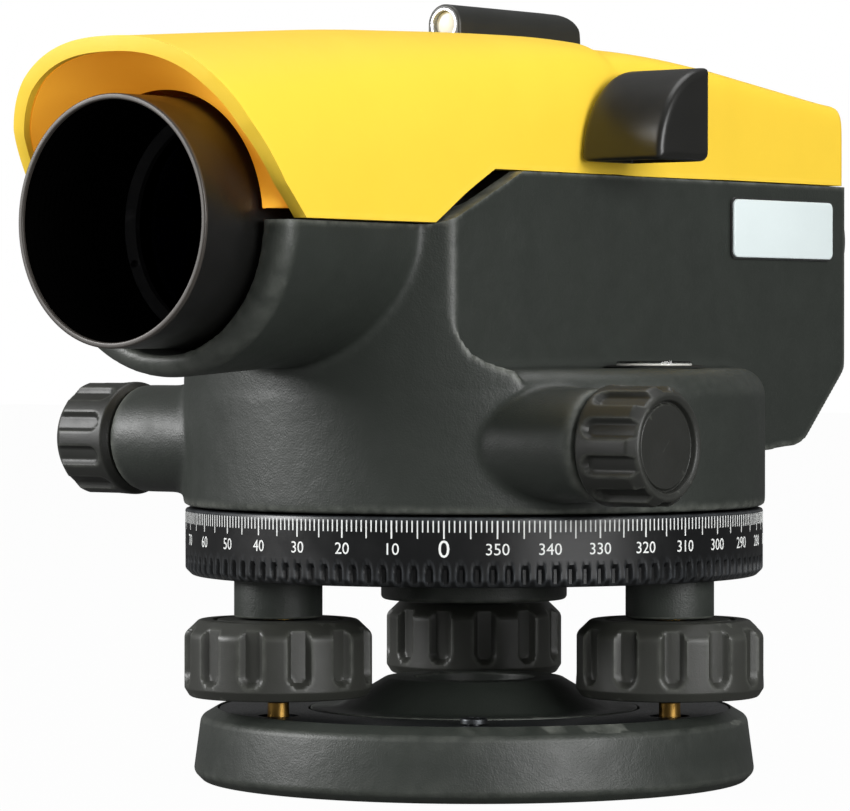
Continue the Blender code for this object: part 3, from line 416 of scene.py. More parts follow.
def glass(name, slot, tint, coat=None):
    """Clear glass. coat is a reflection colour, for a bloomed lens."""
    look = Look(name, slot, Roughness=0.02, IOR=1.52, Transmission_Weight=1.0)
    smear = look.noise(6, 5)
    look.feed("Roughness", look.ramp(smear, 0.4, 0.8, 0.01, 0.06))
    base = linear(tint)
    look.feed("Base Color", look.mix(look.ramp(smear, 0.3, 0.7), tuple(base), tuple(base * 0.93)))
    if coat:
        look.shader.inputs["Specular Tint"].default_value = (*linear(coat), 1.0)
        look.shader.inputs["Coat Weight"].default_value = 0.6
        look.shader.inputs["Coat Tint"].default_value = (*linear(coat), 1.0)
    return look.material


# In each painted look below, edge is the colour and strength of the lighter convex edges: partly wear, partly
# a painted highlight.
YELLOW = painted("yellow_cover_paint", "yellow_enamel", (248, 208, 60), 0.01, 0.56, 0.5, 0.008,
                 edge=((255, 218, 80), 0.3), Specular_IOR_Level=0.35)
# The funnel is a warmer, brighter copy of the yellow paint with an orange glow: painted light standing in for
# the light that reaches inside the visor.
FUNNEL_WITH_PAINTED_GLOW = painted("yellow_funnel_paint_and_painted_glow", "yellow_enamel", (254, 196, 62), 0.01, 0.5, 0.5, 0.008,
                 Emission_Color=(*linear((255, 140, 20)), 1.0), Emission_Strength=0.28)
DARK = painted("dark_casting_paint", "dark_housing_paint", (41, 45, 41), 0.06, 0.46, 0.32, 0.05,
               edge=((116, 119, 112), 0.65))
RIM = painted("dust_tube_rim", "dark_housing_paint", (64, 60, 56), 0.05, 0.4, 0.3, 0.004, Metallic=0.2)
FLOCK = painted("flocked_black", "matt_black_metal", (3, 3, 3), 0.1, 0.9, 0.2, 0.01, Specular_IOR_Level=0.0)
TUBE_BLACK = painted("dust_tube_black", "dark_housing_paint", (16, 16, 15), 0.03, 0.34, 0.3, 0.003)
CIRCLE_BLACK = painted("circle_black", "satin_black_ring", (14, 15, 16), 0.04, 0.34, 0.15, 0.004,
                       edge=((90, 94, 98), 0.4), stretch=(0.03, 0.03, 1), Specular_IOR_Level=0.4)
PRINT = painted("white_print", "satin_black_ring", (232, 234, 232), 0.03, 0.5, 0.2, 0.004)
KNOB = painted("knob_moulding", "knob_plastic", (34, 35, 32), 0.05, 0.46, 0.3, 0.02,
               edge=((84, 86, 80), 0.5))
# The foot knobs are the same moulding as KNOB, made lighter as painted light for the extra key light they
# catch under the drum.
FOOT_GRIP_PAINTED_LIGHTER = painted("foot_grip_moulding_painted_lighter", "knob_plastic", (46, 47, 43), 0.05, 0.46, 0.3, 0.02,
                    edge=((90, 92, 86), 0.5))
GLOSS = painted("gloss_black", "gloss_black_plastic", (24, 24, 22), 0.04, 0.36, 0.6, 0.003,
                Coat_Weight=0.1, Coat_Roughness=0.25)
SIGHT_BLACK = painted("sight_black", "gloss_black_plastic", (36, 37, 35), 0.05, 0.42, 0.25, 0.01,
                      edge=((90, 90, 86), 0.4))
MATT = painted("matt_black_metal", "matt_black_metal", (20, 20, 21), 0.05, 0.6, 0.2, 0.008,
               edge=((90, 90, 92), 0.4), Metallic=0.4)
RUBBER = painted("eyecup_rubber", "black_rubber", (24, 24, 24), 0.06, 0.75, 0.4, 0.02, Sheen_Weight=0.15)
LABEL = painted("label_face", "pale_label", (226, 237, 237), 0.015, 0.34, 0.3, 0.004, Coat_Weight=0.2)
BRASS = machined("turned_brass", "brass", (176, 138, 72), 0.36, 0.25)
STEEL = machined("ground_steel", "bright_steel", (184, 186, 188), 0.28, 0.2)
DULL_STEEL = machined("blackened_steel", "bright_steel", (70, 72, 74), 0.42, 0.3, (1, 1, 1))
ALLOY = machined("cast_alloy", "plain_alloy", (160, 162, 166), 0.42, 0.6, (1, 1, 1))
MAGNET = machined("magnet_metal", "damper_magnet", (96, 98, 102), 0.35, 0.4, (1, 1, 1))
SILVER = machined("silvered_mirror", "mirror", (236, 238, 240), 0.1, 0.5, (1, 1, 1))
GLASS = glass("clear_glass", "optical_glass", (238, 244, 248))
LENS = glass("bloomed_glass", "optical_glass", (70, 72, 110), (80, 82, 140))
FROST = painted("frosted_disc", "optical_glass", (214, 214, 206), 0.04, 0.35, 0.4, 0.004)

CAD_LOOKS = {SLOT_OF[look.name]: look for look in (
    YELLOW, DARK, CIRCLE_BLACK, KNOB, GLOSS, BRASS, STEEL, SILVER, ALLOY, MATT, RUBBER, GLASS, LABEL, MAGNET)}


def dress_cad_nodes():
    """Every CAD node gets its slot's node material, also the ones that stay hidden behind a new piece."""
    for entry in frame["record"]["subparts"]:
        node = frame["nodes"][entry["node"]]
        node.data.materials.clear()
        node.data.materials.append(CAD_LOOKS[entry["material_slot"]])


# ---- Base and foot screws ----

BASE = Box("base_plate")
KNOB_BOXES = [Box(f"foot_knob_{n}") for n in (1, 2, 3)]
SCREW_PLACES = [(knob.middle.x, knob.middle.y, 0) for knob in KNOB_BOXES]
SPRING = Box("spring_plate")


def base_plate():
    edge, boss = BASE.high.x, BASE.high.z
    top = SPRING.high.z + 0.2
    bed = SPRING.low.z - 0.3
    corners = [
        (10.8, boss, 0.5), (16.0, boss, 1.6), (25.0, top, 4.0), (29.7, top, 0.3),
        (29.7, bed), (46.6, bed), (46.6, top, 0.2), (edge - 4.2, top, 0.8),
        (edge - 1.3, top - 1.7, 1.8), (edge, 1.6, 1.6), (edge - 1.6, 0.0, 0.6),
        (34.0, 0.0, 0.4), (34.0, 1.0, 0.3), (7.94, 1.0, 0.6), (7.94, 15.0, 0.4),
        (10.8, 15.0, 0.3),
    ]
    mesh = turned_mesh("base_plate_body", corners, steps=180, longest=6)
    pocket = [(0.0, top + 1), (4.6, top + 1), (4.6, 2.2, 0.8), (0.0, 2.2)]
    pockets = [turned_mesh("pocket", pocket, at, steps=48) for at in SCREW_PLACES]
    add_piece("base_plate_body", cut_mesh(mesh, pockets), DARK, "base", ["base_plate"])
    ring = [(46.3, SPRING.high.z, 0.2), (46.3, SPRING.low.z),
            (30.1, SPRING.low.z), (30.1, SPRING.high.z, 0.2)]
    holes = [turned_mesh("hole", rod(3.6, top + 1, bed - 1), at, steps=40) for at in SCREW_PLACES]
    mesh = cut_mesh(turned_mesh("spring_plate_ring", ring, steps=160), holes)
    add_piece("spring_plate_ring", mesh, DULL_STEEL, "base", ["spring_plate"])
    for number in (1, 2, 3):
        screw_head(number)


def screw_head(number):
    """A cross-headed screw in the spring plate."""
    box = Box(f"spring_plate_screw_{number}")
    x, y = box.middle.x, box.middle.y
    top, seat = box.high.z, box.high.z - 1.0
    corners = [(0.0, top), (2.4, top, 0.5), (2.4, seat), (1.4, seat), (1.4, box.low.z, 0.3), (0.0, box.low.z)]
    mesh = turned_mesh("screw", corners, (x, y, 0), steps=40)
    slot_cutters = []
    for angle in (0.0, 90.0):
        turn = math.radians(angle + 30 * number)
        bar = np.array([(-1.3, -0.25), (1.3, -0.25), (1.3, 0.25), (-1.3, 0.25)])
        spin = np.array([[math.cos(turn), -math.sin(turn)], [math.sin(turn), math.cos(turn)]])
        slot_cutters.append(extruded_mesh("slot", bar @ spin.T, top - 0.6, top + 1, "Z", (x, y, 0)))
    add_piece(f"spring_plate_screw_head_{number}", cut_mesh(mesh, slot_cutters), DULL_STEEL, "base",
              [f"spring_plate_screw_{number}"])


def foot_screws():
    for number, (knob, at) in enumerate(zip(KNOB_BOXES, SCREW_PLACES), 1):
        pin = Box(f"foot_screw_{number}")
        ball = 2.8
        centre = pin.low.z + ball
        tip = [(ball * math.cos(a), centre + ball * math.sin(a)) for a in np.linspace(0.77, -1.55, 16)]
        corners = [
            (0.0, pin.high.z),
            (3.0, pin.high.z, 0.4),
            (3.0, knob.low.z + 1.4),
            (2.5, knob.low.z + 1.2),
            (2.5, knob.low.z - 0.9, 0.2),
            (1.9, knob.low.z - 1.2),
            *tip,
            (0.0, pin.low.z),
        ]
        turned(f"foot_pin_{number}", BRASS, f"foot_{number}", corners, at,
               replaces=[f"foot_screw_{number}"], steps=48)
        radius = knob.size.x / 2
        low, high = knob.low.z, knob.high.z
        corners = [
            (3.3, high, 0.3),
            (radius - 6.0, high, 0.2),
            (radius - 5.7, high - 0.35, 0.2),
            (radius - 5.2, high - 0.35, 0.2),
            (radius - 4.9, high, 0.2),
            (radius - 2.6, high, 1.2),
            (radius, high - 2.5, 1.8),
            (radius, low + 1.6, 0.6),
            (radius - 1.0, low, 0.9),
            (9.0, low, 0.5),
            (8.4, low + 1.0, 0.4),
            (3.3, low + 1.0, 0.2),
        ]
        carve = slots(12, radius, 2.35, 1.25, low + 2.3, 1, 1.0, first=8.0 * number)
        turned(f"foot_knob_grip_{number}", FOOT_GRIP_PAINTED_LIGHTER, f"foot_{number}", corners, at, steps=264, longest=0.55,
               carve=carve, replaces=[f"foot_knob_{number}"])


def levelling_head():
    box = Box("levelling_head")
    top = box.high.z
    corners = [
        (11.0, top, 0.3), (30.0, top, 0.3), (30.0, top - 2.4), (49.0, top - 2.4, 0.5),
        (49.0, top - 7.6, 1.0), (19.0, top - 7.6, 1.5), (16.9, top - 8.6, 1.0),
        (16.9, 32.5, 0.8), (11.0, 32.5, 0.4),
    ]
    mesh = turned_mesh("levelling_head_body", corners, steps=160)
    steps = []
    for knob, at in zip(KNOB_BOXES, SCREW_PLACES):
        low = knob.high.z + 0.3
        neck = [(0.0, top - 3), (7.85, top - 3), (7.85, low, 0.5), (0.0, low)]
        steps.append(("UNION", turned_mesh("neck", neck, at, steps=72)))
    for knob, at in zip(KNOB_BOXES, SCREW_PLACES):
        steps.append(("DIFFERENCE", turned_mesh("bore", rod(3.35, top, knob.high.z - 1), at, steps=40)))
    add_piece("levelling_head_body", combined_mesh(mesh, steps), DARK, "head", ["levelling_head"])


# ---- Horizontal circle ----

CIRCLE = Box("horizontal_circle")
CIRCLE_ZERO = -57.2
TICK_TOP = CIRCLE.high.z - 0.6
PRINT_LIFT = 0.03


def horizontal_circle():
    radius, low, high = CIRCLE.high.x, CIRCLE.low.z, CIRCLE.high.z
    inner = radius - 2.4
    corners = [
        (30.3, high, 0.2), (radius - 0.5, high, 0.0), (radius - 0.15, high - 0.15),
        (radius, high - 0.4), (radius, low + 1.2, 0.8), (radius - 1.2, low, 0.7),
        (inner, low, 0.3), (inner, high - 2.7), (30.3, high - 2.7),
    ]
    carve = slots(120, radius, 0.82, 0.75, low + 3.6, -1, 0.45)
    turned("circle_ring", CIRCLE_BLACK, "circle", corners, steps=1200, longest=0.8, carve=carve,
           replaces=["horizontal_circle"])
    circle_marks(radius)
    circle_numbers(radius)


def circle_marks(radius):
    """One mark a degree, with a longer one every five degrees, standing just proud of the ring."""
    verts, faces = [], []
    for degree in range(360):
        length = 3.1 if degree % 5 == 0 else 2.0
        half = (0.14 if degree % 10 == 0 else 0.115) / radius
        middle = math.radians(CIRCLE_ZERO - degree)
        first = len(verts)
        for r in (radius - 0.1, radius + PRINT_LIFT):
            for angle, z in ((middle - half, TICK_TOP), (middle + half, TICK_TOP),
                             (middle + half, TICK_TOP - length), (middle - half, TICK_TOP - length)):
                verts.append((r * math.cos(angle), r * math.sin(angle), z))
        for quad in ((0, 1, 2, 3), (4, 5, 6, 7), (0, 1, 5, 4), (1, 2, 6, 5), (2, 3, 7, 6), (3, 0, 4, 7)):
            faces.append(tuple(first + k for k in quad))
    add_piece("circle_marks", tidy_mesh("circle_marks", verts, faces), PRINT, "circle")


def circle_numbers(radius):
    """The degrees of the circle every ten, wrapped on the ring."""
    shape = bmesh.new()
    for degree in range(0, 360, 10):
        height = 3.0 if degree == 0 else 2.0
        curve = bpy.data.curves.new("number", "FONT")
        curve.body = str(degree)
        curve.size = height / 0.7 * MM
        curve.align_x = "CENTER"
        curve.align_y = "CENTER"
        curve.extrude = 0.05 * MM
        curve.resolution_u = 3
        text = linked(bpy.data.objects.new("number", curve))
        mesh = evaluated(text)
        middle = math.radians(CIRCLE_ZERO - degree)
        for vertex in mesh.vertices:
            angle = middle + vertex.co.x / MM / radius
            r = radius + PRINT_LIFT if vertex.co.z > 0 else radius - 0.1
            z = CIRCLE.low.z + 6.5 + vertex.co.y / MM
            vertex.co = Vector((r * math.cos(angle), r * math.sin(angle), z)) * MM
        shape.from_mesh(mesh)
        bpy.data.objects.remove(text)
    bmesh.ops.remove_doubles(shape, verts=shape.verts, dist=1e-7)
    mesh = bpy.data.meshes.new("circle_numbers")
    shape.to_mesh(mesh)
    shape.free()
    add_piece("circle_numbers", mesh, PRINT, "circle")


# ---- Housing ----

HOUSING = Box("lower_housing")
COVER = Box("top_cover")
DUST_TUBE = Box("dust_tube")
LABEL_BOX = Box("label_plate")
DRUM_LOW, DRUM_TOP = HOUSING.low.z, 74.5
DRUM_RADIUS = 52.8
BODY_HALF = 30.0
BODY_REAR = HOUSING.high.y
SPLIT_FRONT, SPLIT_REAR = 99.1, HOUSING.high.z
SPLIT_STEP = ((-45.4, 99.1), (-41.0, 101.0), (-25.6, 108.0), (-24.0, 108.7))
SPLIT_SPARE = 4.0
AXIS = DUST_TUBE.middle.z
BARREL_BORE = 22.2
SHAFT_BORE = 6.25
FOCUS_BORE = 5.3
DRIVE = Box("drive_shaft").middle
DRIVE_BOSS_END = HOUSING.high.x
FOCUS = Box("focus_shaft").middle
EYE_BORE = rod(13.3, 60.0, 90.0)


def arc(radius, centre, first, last, steps):
    angle = np.radians(np.linspace(first, last, steps + 1))
    return [(centre[0] + radius * math.cos(a), centre[1] + radius * math.sin(a)) for a in angle]


def ellipse_barrel():
    """The front barrel: half ellipses under the telescope axis, closed by the flat top at the split."""
    front = HOUSING.low.y
    stations = [
        (front, 24.6, 23.0), (front + 0.15, 25.6, 24.0), (front + 0.6, 26.6, 24.9),
        (front + 1.3, 27.3, 25.55), (front + 2.4, 27.8, 26.0), (-62.0, 25.9, 24.7),
        (-45.0, 25.0, 24.0), (-36.0, 25.0, 24.0),
    ]
    rings = []
    angles = np.linspace(0, math.pi, 65)
    for y, half, depth in stations:
        ring = [(half * math.cos(a), y, AXIS - depth * math.sin(a)) for a in angles]
        top = SPLIT_FRONT + SPLIT_SPARE
        rings.append([(half, y, top), *ring, (-half, y, top)])
    return lofted_mesh("barrel", rings)


def housing_sides():
    """The flat-sided body, whose front follows the drum and whose heel slants in at the rear."""
    line = [
        (-60.0, 58.0),
        (-60.0, SPLIT_FRONT + SPLIT_SPARE),
        *[(y, z + SPLIT_SPARE) for y, z in SPLIT_STEP],
        (BODY_REAR, SPLIT_REAR + SPLIT_SPARE),
        (BODY_REAR, 74.0, 5.0),
        (63.3, 61.0, 3.0),
        (61.0, 59.9, 1.0),
        (40.0, 58.0),
    ]
    return extruded_mesh("sides", rounded(line), -BODY_HALF, BODY_HALF, "X")


def plan_block(front):
    """A plan outline that trims the body's front to an arc with soft corners, above the shelf."""
    meet = -math.sqrt(front**2 - BODY_HALF**2)
    edge = [(-BODY_HALF, 90.0), (-BODY_HALF, meet, 2.0)]
    first = math.degrees(math.atan2(meet, -BODY_HALF))
    last = math.degrees(math.atan2(meet, BODY_HALF))
    inner = arc(front, (0, 0), first, last, 48)[2:-2]
    outline = rounded([*edge, *inner, (BODY_HALF, meet, 2.0), (BODY_HALF, 90.0)])
    return extruded_mesh("plan", outline, 56.0, 118.0, "Z")


def corner_fills():
    """The curved foot of the body's front edges, where the side pockets end on the shelf."""
    wide, tall = 7.5, 10.0
    meet = -math.sqrt((DRUM_RADIUS - 0.1) ** 2 - BODY_HALF**2)
    angle = np.radians(np.linspace(270, 180, 17))
    curve = [(meet + wide * (1 + math.cos(a)), DRUM_TOP + tall * (1 + math.sin(a))) for a in angle]
    outline = [(meet - 6, DRUM_TOP - 3), (meet + wide, DRUM_TOP - 3), *curve, (meet - 6, DRUM_TOP + tall)]
    front = DRUM_RADIUS - 0.1
    block = extruded_mesh("fills", outline, -DRUM_RADIUS, DRUM_RADIUS, "X")
    return combined_mesh(block, [("INTERSECT", turned_mesh("rim", rod(front, 70.0, 90.0), steps=288))])


def above_split():
    """What is cut from the housing to leave a crisp edge under the cover."""
    line = [(-110.0, SPLIT_FRONT), *[(y, z, 1.2) for y, z in SPLIT_STEP], (90.0, SPLIT_REAR)]
    return extruded_mesh("above", rounded([*line, (90.0, 130.0), (-110.0, 130.0)]), -40.0, 40.0, "X")


def lower_housing():
    drum_profile = [
        (0.0, DRUM_TOP),
        (DRUM_RADIUS, DRUM_TOP, 5.0),
        (DRUM_RADIUS, DRUM_LOW + 4.2),
        (DRUM_RADIUS, DRUM_LOW, 0.5),
        (0.0, DRUM_LOW),
    ]
    base = turned_mesh("drum", drum_profile, steps=288, longest=12)
    sides = combined_mesh(housing_sides(), [("INTERSECT", plan_block(DRUM_RADIUS - 0.1))])
    end = DRIVE_BOSS_END
    boss = [(0.0, end), (9.8, end, 0.9), (9.8, -end, 0.9), (0.0, -end)]
    joined = [
        ("UNION", sides),
        ("UNION", corner_fills()),
        ("UNION", ellipse_barrel()),
        ("UNION", turned_mesh("boss", boss, DRIVE, "X", steps=96)),
    ]
    inner = DRUM_RADIUS - 3.0
    cavity = [(0.0, 71.5), (inner, 71.5, 2.0), (inner, DRUM_LOW - 3), (0.0, DRUM_LOW - 3)]
    room = rounded([
        (-38.0, 75.2, 1.0),
        (53.0, 75.2),
        (57.0, 64.0),
        (61.0, 64.0),
        (BODY_REAR - 3.0, 76.0, 2.0),
        (BODY_REAR - 3.0, SPLIT_REAR + 10),
        (-38.0, SPLIT_REAR + 10),
    ])
    cutters = [
        turned_mesh("cavity", cavity, steps=192),
        extruded_mesh("room", room, -27.0, 27.0, "X", edge=1.5),
        turned_mesh("bore", rod(BARREL_BORE, -96.0, -30.0), (0, 0, AXIS), "Y", steps=144),
        turned_mesh("shaft_bore", rod(SHAFT_BORE, -70.0, 70.0), (0, DRIVE.y, DRIVE.z), "X", steps=64),
        turned_mesh("focus_bore", rod(FOCUS_BORE, -38.0, -20.0), (0, FOCUS.y, FOCUS.z), "X", steps=48),
        turned_mesh("eye_bore", EYE_BORE, (0, 0, AXIS), "Y", steps=96),
        label_recess(),
    ]
    steps = joined + [("DIFFERENCE", cutter) for cutter in cutters]
    mesh = combined_mesh(base, steps, remesh=0.65, smooth=8)
    add_piece("lower_housing_shell", cut_mesh(mesh, [above_split()]), DARK, "telescope", ["lower_housing"],
              sharp=60)


def label_outline(grow, radius):
    low, high = LABEL_BOX.low, LABEL_BOX.high
    return rounded(rectangle((low.y - grow, low.z - grow), (high.y + grow, high.z + grow), radius))


def label_recess():
    return extruded_mesh("recess", label_outline(0.45, 1.4), LABEL_BOX.low.x - 0.35, LABEL_BOX.low.x + 4, "X")


def label_plate():
    low, high = LABEL_BOX.low, LABEL_BOX.high
    extruded("label_card", LABEL, "telescope", label_outline(0.0, 1.2), low.x, high.x, "X", edge=0.2,
             replaces=["label_plate"])
    # A dark ring round the card, in the eyecup rubber's colour: painted shadow standing in for the shade in
    # the recess's gap.
    shadow_ring = extruded_mesh("shadow_ring", label_outline(0.3, 1.3), low.x - 0.25, low.x + 0.15, "X")
    shadow_ring = cut_mesh(shadow_ring, [extruded_mesh("shadow_ring_hole", label_outline(-0.1, 1.1), low.x - 1, low.x + 1, "X")])
    add_piece("label_painted_shadow_ring", shadow_ring, RUBBER, "telescope")


# ---- Top cover ----

COVER_TOP = ((-99.3, 129.3), (-80.0, 130.8), (-50.0, 133.0), (-20.0, 134.0), (0.0, 134.0),
             (20.0, 132.3), (37.0, 130.0), (77.0, 125.0))
VISOR_EDGE = ((-80.0, 99.0), (-85.5, 105.0), (-92.0, 115.0), (-95.6, 123.0), (-97.5, 129.0))
COVER_FLARE = ((-97.5, 1.3), (-60.0, 0.0), (12.0, 0.0), (37.0, 1.4))
COVER_POWER = ((-97.5, 2.4), (-60.0, 3.0), (-20.0, 4.0), (8.0, 6.0), (37.0, 18.0))
COVER_HALF = 28.0
COVER_REAR = COVER.high.y
COVER_ROUND = 1.8
SKIRT_RISE = 1.9
THROAT_RADIUS = 22.2
THROAT_Y = -83.8
COVER_WALL = 2.6
HOOD_END = (5.5, 9.5)
SHELL_COLUMNS = 145
ROW_STEP = 1.4
LINING_STEPS = 14
LINING_WALL = 0.8


def smoothstep(value, low, high):
    t = np.clip((value - low) / (high - low), 0, 1)
    return t * t * (3 - 2 * t)


def at_y(table, y):
    """The value at y on straight lines through the table's (y, value) pairs, level past both ends."""
    ys, values = zip(*table)
    return float(np.interp(y, ys, values))


def cover_section(y, inset=0.0):
    """The superellipse at y: half width, height over the axis and power. The hood stands a little proud."""
    crown = np.mean([at_y(COVER_TOP, y + d) for d in (-6, -3, 0, 3, 6)])
    step = smoothstep(y, *HOOD_END)
    half = COVER_HALF + at_y(COVER_FLARE, y) - 0.2 * step
    return half - inset, crown - 0.8 * step - AXIS - inset, at_y(COVER_POWER, y)


def cover_point(y, angle, inset=0.0):
    """The point of the section at y in the direction of the angle."""
    half, tall, power = cover_section(y, inset)
    c, s = math.cos(angle), math.sin(angle)
    reach = (abs(c / half) ** power + abs(s / tall) ** power) ** (-1 / power)
    return np.array((reach * c, y, AXIS + reach * s))


def bottom_angle(y, inset=0.0):
    """The angle at which the section meets the cover's lower edge."""
    rise = at_y(((-200.0, SPLIT_FRONT), *SPLIT_STEP, (200.0, SPLIT_REAR)), y) + 0.3 - AXIS
    half, tall, power = cover_section(y, inset)
    return math.atan2(rise, half * (1 - (rise / tall) ** power) ** (1 / power))


def visor_y(angle, inset=0.0):
    """Where the visor's edge lies in the direction of the angle."""
    ys, zs = zip(*VISOR_EDGE)
    y = -90.0
    for _ in range(8):
        y = float(np.interp(cover_point(y, angle, inset)[2], zs, ys))
    return y


def spread(first, count):
    """Column angles from the first, across the top to the other side."""
    return np.linspace(first, math.pi - first, count)


def cover_rows():
    stops = np.arange(VISOR_EDGE[0][0], COVER_REAR - COVER_ROUND, ROW_STEP)
    stops = np.unique(np.round([*stops, *[y for y, _ in SPLIT_STEP], COVER_REAR - COVER_ROUND], 3))
    share = (stops - stops[0]) / (stops[-1] - stops[0])
    rows = []
    for stop, t in zip(stops, share):
        row = []
        for angle in spread(bottom_angle(stop), SHELL_COLUMNS):
            front = visor_y(angle)
            row.append(cover_point(front + t * (stops[-1] - front), angle))
        rows.append(row)
    for k in range(1, 7):
        turn = math.pi / 2 * k / 6
        y = stops[-1] + COVER_ROUND * math.sin(turn)
        inset = COVER_ROUND * (1 - math.cos(turn))
        rows.append([cover_point(y, a, inset) for a in spread(bottom_angle(y, inset), SHELL_COLUMNS)])
    rim = np.array(rows[-1])
    centre = np.array((0.0, rim[0][1], rim[0][2]))
    for share in (0.75, 0.5, 0.25):
        rows.append(list(centre + (rim - centre) * share))
    return rows


def soft_lip(shell):
    """Rounds the visor's lip generously, and the edge along the split only a little."""
    shape = bmesh.new()
    shape.from_mesh(shell)
    weight = shape.edges.layers.float.new("bevel_weight_edge")
    for edge in shape.edges:
        if edge.calc_face_angle(0) > math.radians(50):
            on_lip = max(v.co.y for v in edge.verts) < VISOR_EDGE[0][0] * MM
            edge[weight] = 1.0 if on_lip else 0.2
    shape.to_mesh(shell)
    shape.free()
    work = scratch(shell)
    lip = work.modifiers.new("lip", "BEVEL")
    lip.width = 1.1 * MM
    lip.segments = 4
    lip.limit_method = "WEIGHT"
    mesh = evaluated(work)
    bpy.data.objects.remove(work)
    return mesh


def top_cover():
    rows = cover_rows()
    count = len(rows) * SHELL_COLUMNS
    faces = grid_faces(len(rows), SHELL_COLUMNS)
    last = count - SHELL_COLUMNS
    faces += [(last + k, count, last + k + 1) for k in range(SHELL_COLUMNS - 1)]
    centre = np.array((0.0, rows[-1][0][1], rows[-1][0][2]))
    skin = tidy_mesh("skin", [*np.concatenate(rows), centre], faces)
    upper = skin.polygons[SHELL_COLUMNS // 2 + 20 * (SHELL_COLUMNS - 1)]
    if upper.normal.z < 0:
        skin.flip_normals()
    sight = Box("sight_tube")
    groove = rounded([(-4.05, -3.0, 0.6), (4.05, -3.0, 0.6), (4.05, 6.0), (-4.05, 6.0)])
    mesh = cut_mesh(soft_lip(walled(skin, COVER_WALL, even=True)), [
        turned_mesh("notch", EYE_BORE, (0, 0, AXIS), "Y", steps=96),
        extruded_mesh("groove", groove * (1, -1), sight.low.y - 0.3, sight.high.y + 0.3, "Y",
                      (0, 0, sight.high.z - 3.7), edge=0.4),
    ])
    add_piece("top_cover_shell", mesh, YELLOW, "telescope", ["top_cover"], sharp=40)
    visor_lining()


def visor_lining():
    """The pale funnel from the visor's lip down to the round opening for the dust tube. Its warm colour and
    faint glow are painted light, for the light that reaches inside the visor.
    """
    rows = []
    low = bottom_angle(-82.0, COVER_WALL)
    for k in range(LINING_STEPS + 1):
        t = k / LINING_STEPS
        row = []
        for angle in spread(low, SHELL_COLUMNS):
            front = visor_y(angle, COVER_WALL)
            start = cover_point(front + 1.0, angle, COVER_WALL + 0.05)
            c, s = math.cos(angle), math.sin(angle)
            end = np.array((THROAT_RADIUS * c, THROAT_Y, AXIS + THROAT_RADIUS * s))
            start[2] = max(start[2], SPLIT_FRONT + SKIRT_RISE)
            end[2] = max(end[2], SPLIT_FRONT + SKIRT_RISE)
            point = start + (end - start) * t**1.25
            point[1] = start[1] + (end[1] - start[1]) * t
            row.append(point)
        rows.append(row)
    mesh = tidy_mesh("lining", np.concatenate(rows), grid_faces(len(rows), SHELL_COLUMNS))
    middle = mesh.polygons[SHELL_COLUMNS // 2]
    if middle.normal.z > 0:
        mesh.flip_normals()
    add_piece("visor_lining", walled(mesh, LINING_WALL), FUNNEL_WITH_PAINTED_GLOW, "telescope", sharp=50)


# ---- Objective ----


def dust_tube():
    low, high = DUST_TUBE.low.y, DUST_TUBE.high.y
    outer, bore = DUST_TUBE.size.x / 2, DUST_TUBE.size.x / 2 - 1.0
    rim_end = low + 0.6
    rim = [(outer, low, 0.45), (bore, low, 0.45), (bore, rim_end), (outer, rim_end)]
    turned("dust_tube_rim", RIM, "telescope", rim, (0, 0, AXIS), "Y", steps=288)
    barrel = [(outer, rim_end), (bore + 0.3, rim_end), (bore + 0.3, high), (outer, high)]
    turned("dust_tube_barrel", TUBE_BLACK, "telescope", barrel, (0, 0, AXIS), "Y", ["dust_tube"], steps=288,
           longest=8)
    baffles = []
    depth = rim_end + 1.0
    while depth < rim_end + 18.0:
        baffles += [(bore, depth), (bore + 0.15, depth + 0.35), (bore, depth + 0.7)]
        depth += 1.2
    lining = [(bore + 0.3, rim_end), (bore, rim_end), *baffles, (bore, high), (bore + 0.3, high)]
    turned("dust_tube_lining", FLOCK, "telescope", lining, (0, 0, AXIS), "Y", steps=288, longest=8)
    box = Box("lens_retaining_ring")
    wide, low, high = box.size.x / 2, box.low.y, box.high.y
    corners = [(wide, low, 0.2), (wide - 1.9, low + 0.9, 0.2), (wide - 1.9, high, 0.1), (wide, high)]
    ring = turned_mesh("ring", corners, (0, 0, AXIS), "Y", steps=192)
    holes = []
    for angle in (20.0, 200.0):
        a = math.radians(angle)
        at = ((wide - 0.9) * math.cos(a), 0, AXIS + (wide - 0.9) * math.sin(a))
        holes.append(turned_mesh("hole", rod(0.6, low - 1, low + 1.2), at, "Y", steps=24))
    add_piece("lens_ring", cut_mesh(ring, holes), MATT, "telescope", ["lens_retaining_ring"])


def lens_piece(name, node, look, body, bulge_low, bulge_high):
    """A lens about the telescope's axis, with smooth spherical faces and a ground edge."""
    box = Box(node)
    radius, low, high = box.size.x / 2, box.low.y, box.high.y
    face = np.linspace(0, 1, 17)
    near, far = low + max(bulge_low, 0), high - max(bulge_high, 0)
    front = [(radius * t, near - bulge_low * (1 - t * t)) for t in face]
    back = [(radius * t, far + bulge_high * (1 - t * t)) for t in face[::-1]]
    turned(name, look, body, [*front, *back], (0, 0, box.middle.z), "Y", [node], steps=144)


def objective():
    dust_tube()
    lens_piece("objective_front", "objective_lens_front", LENS, "telescope", 0.9, 2.2)
    lens_piece("objective_rear", "objective_lens_rear", GLASS, "telescope", -2.2, 0.3)


# ---- Drive and focus knobs ----


